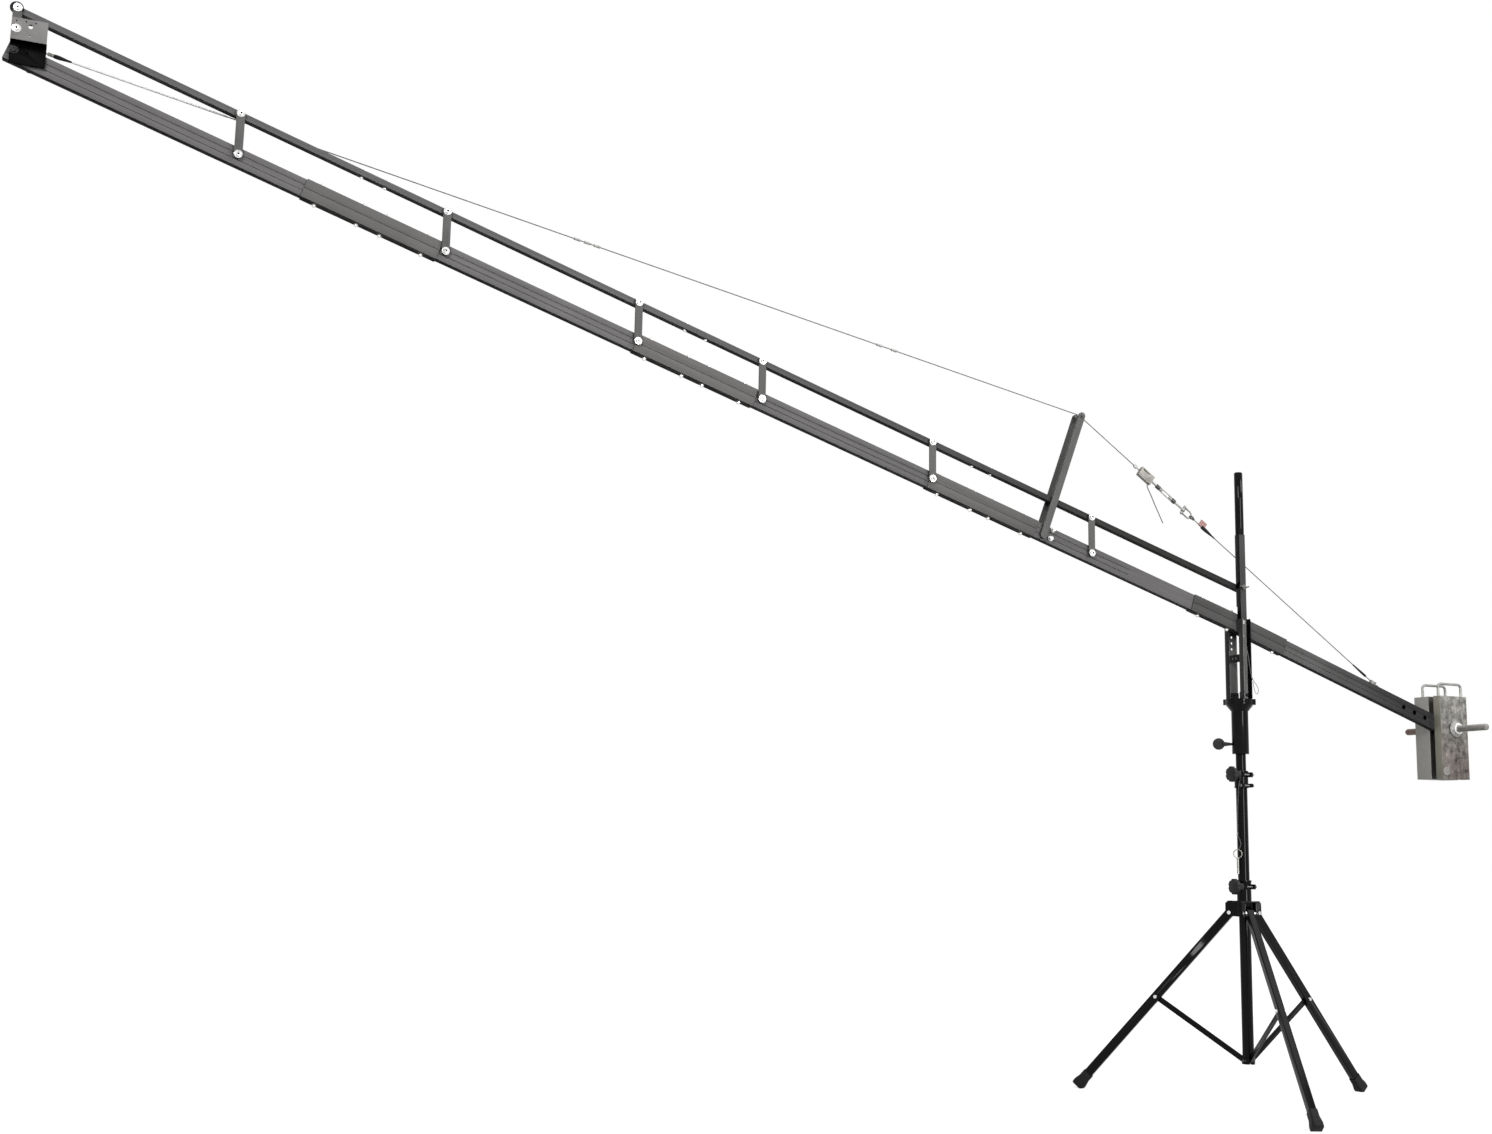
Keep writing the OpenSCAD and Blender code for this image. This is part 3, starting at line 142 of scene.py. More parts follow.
lamp("front_softbox", (0.2, -7.2, 2.1), (0.0, 0, 1.6), 1.8, 4.2, 390)
lamp("left_softbox", (-6.2, -5.2, 5.6), (-2.0, 0, 2.2), 2.0, 2.0, 270)
lamp("right_softbox", (5.2, -6.0, 6.0), (0.2, 0, 1.6), 1.6, 1.6, 260)
lamp("overhead_softbox", (0.0, -0.5, 6.5), (0.0, 0, 0), 4.5, 4.5, 170)

floor_mesh = bpy.data.meshes.new("studio_floor")
reach = 60.0
corners = [(-reach, -reach, 0), (reach, -reach, 0), (reach, reach, 0), (-reach, reach, 0)]
floor_mesh.from_pydata(corners, [], [(0, 1, 2, 3)])
floor = bpy.data.objects.new("studio_floor", floor_mesh)
bpy.context.scene.collection.objects.link(floor)
paper = bpy.data.materials.new("white_paper")
paper.use_nodes = True
sheet = paper.node_tree
sheet.nodes.clear()
matt = sheet.nodes.new("ShaderNodeBsdfDiffuse")
glow = sheet.nodes.new("ShaderNodeEmission")
glow.inputs["Color"].default_value = (1, 1, 1, 1)
seen = seen_directly(sheet)
floor_grey = 0.27
joined(sheet, arithmetic(sheet, "MULTIPLY", seen, floor_grey), matt.inputs["Color"])
distance = sheet.nodes.new("ShaderNodeVectorMath")
distance.operation = "LENGTH"
joined(sheet, sheet.nodes.new("ShaderNodeTexCoord").outputs["Object"], distance.inputs[0])
spread = sheet.nodes.new("ShaderNodeMapRange")
spread.interpolation_type = "SMOOTHSTEP"
for socket, amount in (("From Min", 0.6), ("From Max", 3.5), ("To Min", 0.82), ("To Max", 1.02)):
    spread.inputs[socket].default_value = amount
joined(sheet, distance.outputs["Value"], spread.inputs["Value"])
joined(sheet, arithmetic(sheet, "MULTIPLY", seen, spread.outputs["Result"]), glow.inputs["Strength"])
summed = sheet.nodes.new("ShaderNodeAddShader")
joined(sheet, matt.outputs[0], summed.inputs[0])
joined(sheet, glow.outputs[0], summed.inputs[1])
paper_out = sheet.nodes.new("ShaderNodeOutputMaterial")
joined(sheet, summed.outputs[0], paper_out.inputs["Surface"])
floor_mesh.materials.append(paper)

# Steel cords: the pin's lanyard, the yoke's lanyard and the free tail of the stay
# Each is bare 2 to 4 mm wire rope. The lanyards are crimped at a small ring or loop, and the tail
# stands out of the grip as it was cut.
SOCKETS = {"c": "NodeSocketColor", "v": "NodeSocketFloat"}


def effect(name, takes, gives):
    """An empty shader node group with named inputs and outputs, each given as (name, kind, value)."""
    tree = bpy.data.node_groups.new(name, "ShaderNodeTree")
    for label, kind, value in takes:
        sock = tree.interface.new_socket(label, in_out="INPUT", socket_type=SOCKETS[kind])
        sock.default_value = value
    for label, kind in gives:
        tree.interface.new_socket(label, in_out="OUTPUT", socket_type=SOCKETS[kind])
    return tree, tree.nodes.new("NodeGroupInput"), tree.nodes.new("NodeGroupOutput")


def noise(tree, place, scale, detail, rough):
    node = tree.nodes.new("ShaderNodeTexNoise")
    node.inputs["Detail"].default_value = detail
    node.inputs["Roughness"].default_value = rough
    joined(tree, place, node.inputs["Vector"])
    if isinstance(scale, float):
        node.inputs["Scale"].default_value = scale
    else:
        joined(tree, scale, node.inputs["Scale"])
    return node.outputs["Fac"]


def ranged(tree, value, low, high, to_low, to_high):
    node = tree.nodes.new("ShaderNodeMapRange")
    for socket, amount in zip(("From Min", "From Max", "To Min", "To Max"), (low, high, to_low, to_high)):
        if isinstance(amount, (int, float)):
            node.inputs[socket].default_value = amount
        else:
            joined(tree, amount, node.inputs[socket])
    joined(tree, value, node.inputs["Value"])
    return node.outputs["Result"]


def blended(tree, share, first, second):
    node = tree.nodes.new("ShaderNodeMix")
    node.data_type = "RGBA"
    colour_a = next(s for s in node.inputs if s.name == "A" and s.type == "RGBA")
    colour_b = next(s for s in node.inputs if s.name == "B" and s.type == "RGBA")
    for socket, amount in ((node.inputs[0], share), (colour_a, first), (colour_b, second)):
        if isinstance(amount, (int, float, tuple)):
            socket.default_value = amount
        else:
            joined(tree, amount, socket)
    return next(s for s in node.outputs if s.type == "RGBA")


# Uneven finish: slow patches of lighter and darker coat, and fine grain in its surface
uneven, taken, given = effect("uneven_coat",
    [("Colour", "c", (0.1, 0.1, 0.1, 1)), ("Patch Size", "v", 6.0), ("Patch Depth", "v", 0.2),
     ("Roughness", "v", 0.4), ("Roughness Spread", "v", 0.08), ("Grain Size", "v", 900.0)],
    [("Colour", "c"), ("Roughness", "v"), ("Height", "v")])
spot = uneven.nodes.new("ShaderNodeTexCoord").outputs["Object"]
patches = noise(uneven, spot, taken.outputs["Patch Size"], 5.0, 0.6)
dim = ranged(uneven, patches, 0.3, 0.7, arithmetic(uneven, "SUBTRACT", 1.0, taken.outputs["Patch Depth"]),
             arithmetic(uneven, "ADD", 1.0, taken.outputs["Patch Depth"]))
shade = uneven.nodes.new("ShaderNodeVectorMath")
shade.operation = "SCALE"
joined(uneven, taken.outputs["Colour"], shade.inputs[0])
joined(uneven, dim, shade.inputs["Scale"])
joined(uneven, shade.outputs[0], given.inputs["Colour"])
grain = noise(uneven, spot, taken.outputs["Grain Size"], 2.0, 0.5)
above = arithmetic(uneven, "SUBTRACT", patches, 0.5)
varied = arithmetic(uneven, "MULTIPLY", above, taken.outputs["Roughness Spread"])
varied = arithmetic(uneven, "MULTIPLY", varied, 4.0)
joined(uneven, arithmetic(uneven, "ADD", taken.outputs["Roughness"], varied), given.inputs["Roughness"])
joined(uneven, grain, given.inputs["Height"])

# Drawn lines: fine streaks left along a piece by drawing, rolling or brushing
drawn, taken, given = effect("drawn_lines",
    [("Turn", "v", 0.0), ("Along", "v", 1.5), ("Across", "v", 260.0)], [("Streaks", "v")])
swung = drawn.nodes.new("ShaderNodeVectorRotate")
swung.rotation_type = "Y_AXIS"
joined(drawn, drawn.nodes.new("ShaderNodeTexCoord").outputs["Object"], swung.inputs["Vector"])
joined(drawn, taken.outputs["Turn"], swung.inputs["Angle"])
split = drawn.nodes.new("ShaderNodeSeparateXYZ")
joined(drawn, swung.outputs[0], split.inputs[0])
packed = drawn.nodes.new("ShaderNodeCombineXYZ")
joined(drawn, arithmetic(drawn, "MULTIPLY", split.outputs["X"], taken.outputs["Along"]), packed.inputs["X"])
joined(drawn, arithmetic(drawn, "MULTIPLY", split.outputs["Y"], taken.outputs["Across"]), packed.inputs["Y"])
joined(drawn, arithmetic(drawn, "MULTIPLY", split.outputs["Z"], taken.outputs["Across"]), packed.inputs["Z"])
joined(drawn, noise(drawn, packed.outputs[0], 1.0, 3.0, 0.6), given.inputs["Streaks"])


def shader(name, colour, metal, rough, specular=0.5, patch=(6.0, 0.15), spread=0.06, grain=(900.0, 0.00002),
           streaks=None, fade=None):
    """A Principled finish with an uneven coat, with streaks given as (turn, along, across, depth),
    and a second colour that it fades to, given as (axis, from, to, colour) in metres."""
    material = bpy.data.materials.new(name)
    material.use_nodes = True
    tree = material.node_tree
    core = tree.nodes["Principled BSDF"]
    core.inputs["Metallic"].default_value = metal
    core.inputs["Specular IOR Level"].default_value = specular
    worn = tree.nodes.new("ShaderNodeGroup")
    worn.node_tree = uneven
    worn.inputs["Colour"].default_value = (*colour, 1)
    if fade:
        place = tree.nodes.new("ShaderNodeSeparateXYZ")
        joined(tree, tree.nodes.new("ShaderNodeTexCoord").outputs["Object"], place.inputs[0])
        share = ranged(tree, place.outputs[fade[0]], fade[1], fade[2], 0.0, 1.0)
        joined(tree, blended(tree, share, (*colour, 1), (*fade[3], 1)), worn.inputs["Colour"])
    worn.inputs["Patch Size"].default_value, worn.inputs["Patch Depth"].default_value = patch
    worn.inputs["Roughness"].default_value = rough
    worn.inputs["Roughness Spread"].default_value = spread
    worn.inputs["Grain Size"].default_value = grain[0]
    joined(tree, worn.outputs["Roughness"], core.inputs["Roughness"])
    bump = tree.nodes.new("ShaderNodeBump")
    bump.inputs["Distance"].default_value = grain[1]
    joined(tree, bump.outputs["Normal"], core.inputs["Normal"])
    if streaks:
        lines = tree.nodes.new("ShaderNodeGroup")
        lines.node_tree = drawn
        lines.inputs["Turn"].default_value, lines.inputs["Along"].default_value = streaks[0], streaks[1]
        lines.inputs["Across"].default_value = streaks[2]
        joined(tree, arithmetic(tree, "ADD", lines.outputs[0], worn.outputs["Height"]), bump.inputs["Height"])
        dimmed = ranged(tree, lines.outputs[0], 0.3, 0.7, 1.0 - streaks[3], 1.0 + streaks[3])
        scaled = tree.nodes.new("ShaderNodeVectorMath")
        scaled.operation = "SCALE"
        joined(tree, worn.outputs["Colour"], scaled.inputs[0])
        joined(tree, dimmed, scaled.inputs["Scale"])
        joined(tree, scaled.outputs[0], core.inputs["Base Color"])
    else:
        joined(tree, worn.outputs["Height"], bump.inputs["Height"])
        joined(tree, worn.outputs["Colour"], core.inputs["Base Color"])
    return material


wire = shader("galvanised_wire", (0.12, 0.118, 0.112), 0.3, 0.5, patch=(90.0, 0.3), grain=(3000.0, 0.0002))


def smooth_route(points, steps=4):
    """Points in mm become a smooth run in metres that still passes through each of them."""
    p = [Vector(q) / 1000 for q in points]
    p = [2 * p[0] - p[1]] + p + [2 * p[-1] - p[-2]]
    run = []
    for before, start, end, after in zip(p, p[1:], p[2:], p[3:]):
        for k in range(steps):
            t = k / steps
            square = (2 * before - 5 * start + 4 * end - after) * t * t
            cube = (3 * start - before - 3 * end + after) * t ** 3
            run.append(0.5 * (2 * start + (end - before) * t + square + cube))
    return run + [p[-2]]


def length_of(run):
    return sum((b - a).length for a, b in zip(run, run[1:]))


def cord(name, body, run, radius, material):
    line = bpy.data.curves.new(name, "CURVE")
    line.dimensions = "3D"
    line.bevel_depth = radius
    line.bevel_resolution = 3
    line.use_fill_caps = True
    spline = line.splines.new("POLY")
    spline.points.add(len(run) - 1)
    for point, place in zip(spline.points, run):
        point.co = (*place, 1)
    line.materials.append(material)
    piece = bpy.data.objects.new(name, line)
    bpy.context.scene.collection.objects.link(piece)
    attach(piece, body)
    return piece


tilt = math.radians(18.0)
pivot_height = 1706


def on_boom(s, y, w):
    """Millimetres forward of the tilt pivot, across and above the boom's line, as a point in millimetres."""
    height = pivot_height + s * math.sin(tilt) + w * math.cos(tilt)
    return Vector((-s * math.cos(tilt) + w * math.sin(tilt), y, height))


rear_s, rear_w = -650.628, 12.474
roller_s, king_h, roller_r = 861.0, 463.0, 7.0
stay_slope = math.atan2(king_h + roller_r - rear_w, roller_s - rear_s)


def on_stay(s, x, y, z):
    """A point x along and z square to the rear run of the stay, from its place s along the boom."""
    turn = tilt + stay_slope
    foot = on_boom(s, 0, rear_w + (s - rear_s) * math.tan(stay_slope))
    level, high = x * math.cos(turn) + z * math.sin(turn), z * math.cos(turn) - x * math.sin(turn)
    return foot + Vector((level, y, high))


pin_run = smooth_route([
    (-23, -30, 1144), (-25.5, -30, 1144), (-27, -29, 1138), (-28, -28, 1130), (-31, -27, 1118),
    (-31, -24, 1104), (-27, -18, 1092), (-25, -12, 1070), (-26, -9, 1030), (-27, -8, 990), (-28, -8, 955),
    (-30, -9, 934), (-23, -14, 915), (-22, -16, 898), (-26, -13, 886), (-31, -9, 884.5)])
pin_lanyard = cord("pin_cord", "stand", pin_run, 0.001, wire)
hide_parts("pin_lanyard")
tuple(pin_run[0])
length_of(pin_run)

yoke_run = smooth_route([
    (-5, -36, 1653), (-5, -38.5, 1653), (-5, -41, 1648), (-4, -45, 1634), (-2, -52, 1606),
    (1, -57, 1575), (5, -58, 1540), (10, -58, 1512), (15, -58, 1496), (26, -58, 1484), (36, -58, 1470),
    (41, -58, 1456), (36, -58, 1443), (28, -58, 1446), (22, -58, 1462), (19, -58, 1478), (18, -58, 1487)])
yoke_lanyard = cord("yoke_cord", "yoke", yoke_run, 0.001, wire)
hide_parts("yoke_lanyard")
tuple(yoke_run[0])
length_of(yoke_run)

tail_run = smooth_route([on_stay(533, x, 0, z) for x, z in
    ((24, -18), (24, -21), (26, -26), (35, -33), (60, -46), (90, -63), (124, -81), (156, -98))])
stay_tail = cord("stay_tail", "boom", tail_run, 0.002, wire)
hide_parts("grip_tail")
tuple(tail_run[0])
length_of(tail_run)

# Stay cable
# Six-strand galvanised rope, taut from the head over the king post's roller, and from the shackle
# to the rear anchor. A clear cover keeps it off the boom's edge next to the head.
front_s, front_y, front_w = 4424.0, 21.0, 49.0
front_slope = math.atan2(king_h + roller_r - front_w, front_s - roller_s)


def over_roller(turn):
    return on_boom(roller_s + roller_r * math.sin(turn), 0, king_h + roller_r * math.cos(turn))


def front_point(share):
    return over_roller(front_slope) * (1 - share) + on_boom(front_s, front_y, front_w) * share


def plain_path(name, points):
    """Points in mm become a plain line of straight runs, in metres."""
    line = bpy.data.curves.new(name, "CURVE")
    line.dimensions = "3D"
    spline = line.splines.new("POLY")
    spline.points.add(len(points) - 1)
    for point, place in zip(spline.points, points):
        point.co = (*(Vector(place) / 1000), 1)
    piece = bpy.data.objects.new(name, line)
    bpy.context.scene.collection.objects.link(piece)
    return piece


def growing(name, amounts):
    """An empty tree that takes a curve, named amounts and a finish, and gives a mesh."""
    tree = bpy.data.node_groups.new(name, "GeometryNodeTree")
    tree.interface.new_socket("Geometry", in_out="INPUT", socket_type="NodeSocketGeometry")
    for label in amounts:
        tree.interface.new_socket(label, in_out="INPUT", socket_type="NodeSocketFloat")
    tree.interface.new_socket("Finish", in_out="INPUT", socket_type="NodeSocketMaterial")
    tree.interface.new_socket("Geometry", in_out="OUTPUT", socket_type="NodeSocketGeometry")
    return tree, tree.nodes.new("NodeGroupInput").outputs


def resampled(tree, ins, step):
    """The path that the tree takes, in even steps of the given length."""
    even = tree.nodes.new("GeometryNodeResampleCurve")
    even.mode = "LENGTH"
    joined(tree, ins["Geometry"], even.inputs["Curve"])
    joined(tree, step, even.inputs["Length"])
    return even.outputs["Curve"]


def skinned(tree, path, section):
    skin = tree.nodes.new("GeometryNodeCurveToMesh")
    skin.inputs["Fill Caps"].default_value = True
    joined(tree, path, skin.inputs["Curve"])
    joined(tree, section, skin.inputs["Profile Curve"])
    return skin.outputs["Mesh"]


def given_out(tree, ins, mesh):
    """Ends a tree: the mesh is made real, takes the finish and leaves."""
    real = tree.nodes.new("GeometryNodeRealizeInstances")
    joined(tree, mesh, real.inputs["Geometry"])
    dressed = tree.nodes.new("GeometryNodeSetMaterial")
    joined(tree, real.outputs["Geometry"], dressed.inputs["Geometry"])
    joined(tree, ins["Finish"], dressed.inputs["Material"])
    joined(tree, dressed.outputs["Geometry"], tree.nodes.new("NodeGroupOutput").inputs["Geometry"])


def rope_tree():
    """Curve in, laid rope out: a lobed section turned steadily along the resampled path."""
    tree, ins = growing("laid_rope", ("Radius", "Groove Depth", "Lay Length", "Step"))
    path = resampled(tree, ins, ins["Step"])
    along = tree.nodes.new("GeometryNodeSplineParameter")
    lays = arithmetic(tree, "DIVIDE", along.outputs["Length"], ins["Lay Length"])
    tilted = tree.nodes.new("GeometryNodeSetCurveTilt")
    joined(tree, path, tilted.inputs["Curve"])
    joined(tree, arithmetic(tree, "MULTIPLY", lays, math.tau), tilted.inputs["Tilt"])
    lobes = tree.nodes.new("GeometryNodeCurveStar")
    lobes.inputs["Points"].default_value = 6
    root = arithmetic(tree, "SUBTRACT", ins["Radius"], ins["Groove Depth"])
    joined(tree, ins["Radius"], lobes.inputs["Outer Radius"])
    joined(tree, root, lobes.inputs["Inner Radius"])
    given_out(tree, ins, skinned(tree, tilted.outputs["Curve"], lobes.outputs["Curve"]))
    return tree


def grown(name, base, tree, values, smooth=None):
    """Runs a tree on an object, keeps the result as one plain mesh at the origin, and drops the base."""
    step = base.modifiers.new("grow", "NODES")
    step.node_group = tree
    for item in tree.interface.items_tree:
        if item.item_type == "SOCKET" and item.in_out == "INPUT" and item.name in values:
            step[item.identifier] = values[item.name]
    bpy.context.view_layer.update()
    seen = base.evaluated_get(bpy.context.evaluated_depsgraph_get())
    mesh = bpy.data.meshes.new_from_object(seen)
    mesh.name = name
    bpy.data.objects.remove(base)
    piece = bpy.data.objects.new(name, mesh)
    bpy.context.scene.collection.objects.link(piece)
    if smooth is not None:
        mesh.shade_smooth()
        mesh.set_sharp_from_angle(angle=smooth)
    return piece


def merged(name, pieces):
    """Several meshes at the origin become one."""
    bm = bmesh.new()
    kept = []
    for piece in pieces:
        for material in piece.data.materials:
            if material not in kept:
                kept.append(material)
        start = len(bm.faces)
        bm.from_mesh(piece.data)
        bm.faces.ensure_lookup_table()
        for face in bm.faces[start:]:
            own = piece.data.materials
            face.material_index = kept.index(own[min(face.material_index, len(own) - 1)])
    mesh = bpy.data.meshes.new(name)
    bm.to_mesh(mesh)
    bm.free()
    for material in kept:
        mesh.materials.append(material)
    for piece in pieces:
        bpy.data.objects.remove(piece)
    whole = bpy.data.objects.new(name, mesh)
    bpy.context.scene.collection.objects.link(whole)
    return whole


def solid(name, bm, material):
    """Ends a form of faces: one mesh, smooth but for its sharp edges."""
    mesh = bpy.data.meshes.new(name)
    bm.to_mesh(mesh)
    bm.free()
    mesh.materials.append(material)
    mesh.shade_smooth()
    mesh.set_sharp_from_angle(angle=math.radians(35))
    piece = bpy.data.objects.new(name, mesh)
    bpy.context.scene.collection.objects.link(piece)
    return piece


def turned(name, start, direction, profile, material, sides=28):
    """A body of revolution. The profile gives (distance along, radius) in mm from a start in mm."""
    axis = Vector(direction).normalized()
    across = axis.orthogonal().normalized()
    other = axis.cross(across)
    bm = bmesh.new()
    rings = []
    for along, radius in profile:
        centre = (Vector(start) + axis * along) / 1000
        corners = 1 if radius == 0 else sides
        rings.append([bm.verts.new(centre + (across * math.cos(math.tau * k / sides)
                                             + other * math.sin(math.tau * k / sides)) * radius / 1000)
                      for k in range(corners)])
    for a, b in zip(rings, rings[1:]):
        for k in range(sides):
            n = (k + 1) % sides
            corner = [a[k % len(a)], a[n % len(a)], b[n % len(b)], b[k % len(b)]]
            bm.faces.new(list(dict.fromkeys(corner)))
    bmesh.ops.remove_doubles(bm, verts=bm.verts, dist=1e-6)
    bmesh.ops.recalc_face_normals(bm, faces=bm.faces)
    return solid(name, bm, material)


def prism(name, outline, depth, ease, material):
    """A flat outline in mm, carried along the vector depth and eased at its edges."""
    bm = bmesh.new()
    shifts = (Vector((0, 0, 0)), Vector(depth))
    ends = [[bm.verts.new((Vector(q) + shift) / 1000) for q in outline] for shift in shifts]
    bm.faces.new(ends[0])
    bm.faces.new(ends[1][::-1])
    for k in range(len(outline)):
        n = (k + 1) % len(outline)
        bm.faces.new((ends[0][n], ends[0][k], ends[1][k], ends[1][n]))
    bmesh.ops.bevel(bm, geom=list(bm.edges), offset=ease / 1000, segments=2, affect="EDGES")
    bmesh.ops.recalc_face_normals(bm, faces=bm.faces)
    return solid(name, bm, material)


def placed(piece, body, slot, *names):
    """Rides a piece on a body, in place of the named nodes if any. The slot is not used."""
    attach(piece, body)
    if names:
        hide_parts(*names)


rope = rope_tree()


def under_roller(s):
    """A point of the rear run of the stay, at its place s along the boom."""
    return on_boom(s, 0, rear_w + (s - rear_s) * math.tan(stay_slope))


front_run = [under_roller(s) for s in (539, 629, 719, 809)]
front_run += [over_roller(k * stay_slope / 3) for k in (-3, -2, -1)]
front_run += [over_roller(k * front_slope / 3) for k in range(4)]
front_run += [front_point(k / 8) for k in range(1, 9)]
rear_run = [on_stay(433, 150, 0, 0), under_roller(-635.0)]
rope_values = {"Radius": 0.002, "Groove Depth": 0.0005, "Lay Length": 0.026, "Step": 0.0045, "Finish": wire}
stay = merged("stay_rope", [grown("front_rope", plain_path("front_line", front_run), rope, rope_values),
                            grown("rear_rope", plain_path("rear_line", rear_run), rope, rope_values)])
placed(stay, "boom", "wire_steel", "stay_cable")
cover_clear = shader("cloudy_cover", (0.7, 0.705, 0.7), 0.0, 0.45, specular=0.3, patch=(60.0, 0.1))
front_way = front_point(1) - front_point(0)
cover = turned("cable_cover", front_point(0.853), front_way,
               [(0, 2.2), (0.3, 2.9), (455, 2.9), (455.3, 2.2), (0, 2.2)], cover_clear, sides=14)
placed(cover, "boom", "knob_plastic")

# Boom tubes, sleeves and rod
# Drawn rectangular aluminium tube with two shallow grooves on each side, coated dark grey.
# The joints between tubes are covered by sleeves held with cap-nut bolts.
# Painted shade: these coats darken towards the mast (the rod's near black) and the rear's towards its end.
boom_coat_and_shade = shader("boom_coat_and_shade", (0.15, 0.145, 0.146), 0.0, 0.6, specular=0.02, patch=(4.0, 0.07),
                   streaks=(-tilt, 1.2, 700.0, 0.10), fade=("X", -2.4, -0.8, (0.125, 0.121, 0.121)))
rod_coat_and_shade = shader("rod_coat_and_shade", (0.125, 0.122, 0.122), 0.0, 0.6, specular=0.02, patch=(4.0, 0.08),
                  streaks=(-tilt, 1.2, 700.0, 0.10), fade=("X", -2.3, -0.5, (0.035, 0.034, 0.033)))
sleeve_coat_and_shade = shader("sleeve_coat_and_shade", (0.145, 0.14, 0.138), 0.0, 0.6, specular=0.02, patch=(5.0, 0.1),
                     streaks=(-tilt, 1.2, 500.0, 0.08), fade=("X", -1.5, -0.2, (0.085, 0.083, 0.082)))
rear_coat_and_shade = shader("rear_coat_and_shade", (0.11, 0.108, 0.107), 0.0, 0.6, specular=0.02, patch=(5.0, 0.15),
                   streaks=(-tilt, 1.2, 600.0, 0.12), fade=("X", 0.3, 0.75, (0.036, 0.035, 0.035)))
# Painted shade: the floors and walls of the shallow grooves are near black.
groove_painted_shade = shader("groove_painted_shade", (0.02, 0.02, 0.02), 0.0, 0.7, specular=0.0, patch=(5.0, 0.15))


def solids_of(mesh):
    """For each face, the centre and the size of the separate solid that it belongs to."""
    owner = list(range(len(mesh.vertices)))

    def root(k):
        while owner[k] != k:
            owner[k] = owner[owner[k]]
            k = owner[k]
        return k

    for edge in mesh.edges:
        a, b = (root(k) for k in edge.vertices)
        owner[a] = b
    corners = {}
    for vertex in mesh.vertices:
        low, high = corners.setdefault(root(vertex.index), (vertex.co.copy(), vertex.co.copy()))
        for k in range(3):
            low[k] = min(low[k], vertex.co[k])
            high[k] = max(high[k], vertex.co[k])
    bounds = [corners[root(face.vertices[0])] for face in mesh.polygons]
    return [((low + high) / 2, high - low) for low, high in bounds]


crease = math.radians(32)


def rounded(name, width, materials, pick=None):
    """The CAD node's own form with its corners eased by width metres, standing for the node."""
    node = nodes[name]
    mesh = node.data.copy()
    bm = bmesh.new()
    bm.from_mesh(mesh)
    bmesh.ops.remove_doubles(bm, verts=bm.verts, dist=2e-6)
    bmesh.ops.dissolve_limit(bm, angle_limit=math.radians(0.4), verts=bm.verts, edges=bm.edges)
    bm.to_mesh(mesh)
    bm.free()
    mesh.name = name + "_form"
    piece = bpy.data.objects.new(name + "_finished", mesh)
    bpy.context.scene.collection.objects.link(piece)
    mesh.materials.clear()
    for material in materials:
        mesh.materials.append(material)
    if width:
        ease = piece.modifiers.new("ease", "BEVEL")
        ease.width = width
        ease.segments = 2
        ease.limit_method = "ANGLE"
        ease.angle_limit = crease
        ease.use_clamp_overlap = True
        bpy.context.view_layer.update()
        done = bpy.data.meshes.new_from_object(piece.evaluated_get(bpy.context.evaluated_depsgraph_get()))
        piece.modifiers.clear()
        piece.data = done
        mesh = done
    if pick:
        for face, (centre, size) in zip(mesh.polygons, solids_of(mesh)):
            face.material_index = pick(face, centre, size)
    mesh.shade_smooth()
    mesh.set_sharp_from_angle(angle=crease)
    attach(piece, node["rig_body"])
    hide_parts(name)
    return piece


def finished(names, width, materials, pick=None):
    for name in names:
        rounded(name, width, materials, pick)


tube_half, sleeve_half = 0.0127, 0.01675
groove_deep = 0.0008


def in_groove(half):
    """Picks the floors and walls of the grooves sunk into a side that stands half from the middle."""
    deepest, shallowest = half - 1.3 * groove_deep, half - 0.2 * groove_deep
    return lambda f, c, s: 1 if deepest < abs(f.center.y) < shallowest else 0


finished(["boom_tubes"], 0.0003, [boom_coat_and_shade, groove_painted_shade], in_groove(tube_half))
finished(["top_rod"], 0.0007, [rod_coat_and_shade])
finished(["splice_sleeves", "fulcrum_sleeve"], 0.0003, [sleeve_coat_and_shade, groove_painted_shade], in_groove(sleeve_half))
finished(["boom_rear"], 0.0003, [rear_coat_and_shade, groove_painted_shade], in_groove(tube_half))

# Rod's end disc
# A black disc fills the gap between the rod's front end and the head link, and shows round the bolt.
plug_black = shader("plug_black", (0.008, 0.008, 0.008), 0.0, 0.45, specular=0.08, patch=(40.0, 0.2))
rod_disc = turned("rod_end_disc", on_boom(4502.5, -18.6, 1.0) + Vector((0, 0, 130)), (0, 1, 0),
                  [(0, 0), (0, 17.6), (0.9, 18.8), (4.7, 18.8), (5.6, 17.6), (5.6, 0)], plug_black, sides=40)
placed(rod_disc, "rod", "knob_plastic")

# Bolts
# Zinc-plated cap nuts, socket screws and washers. The sockets are painted dark inside as painted shade,
# and the yoke's foot has black oxide bolts; the head's lower pivot bolt is painted black as painted
# shade, where it sits in the camera channel's shadow.
zinc = shader("bright_zinc", (0.62, 0.62, 0.615), 1.0, 0.3, patch=(120.0, 0.12), spread=0.05,
              grain=(1500.0, 0.00004))
# Painted shade: the inside of each socket.
socket_painted_shade = shader("socket_painted_shade", (0.015, 0.015, 0.015), 0.0, 0.6, specular=0.1, patch=(90.0, 0.2))
black_oxide_and_shade = shader("black_oxide_and_shade", (0.01, 0.01, 0.011), 0.0, 0.35, specular=0.2, patch=(60.0, 0.2))
head_pivot = on_boom(4499, 0, 0) / 1000
socket_r, socket_deep = 0.0034, 0.0055
washer_area = 4e-5


def bolt_face(face, centre, size):
    """The socket lies near the bolt's own axis, just inside its near end; it and the head's pivot are painted
    shade.
    """
    if math.hypot(centre.x - head_pivot.x, centre.z - head_pivot.z) < 0.03:
        return 2
    off_axis = math.hypot(face.center.x - centre.x, face.center.z - centre.z)
    near_end = centre.y - size.y / 2
    in_head = near_end + 0.0002 < face.center.y < near_end + socket_deep
    in_socket = off_axis < socket_r and in_head and face.area < washer_area
    return 1 if in_socket and size.y > 0.02 else 0


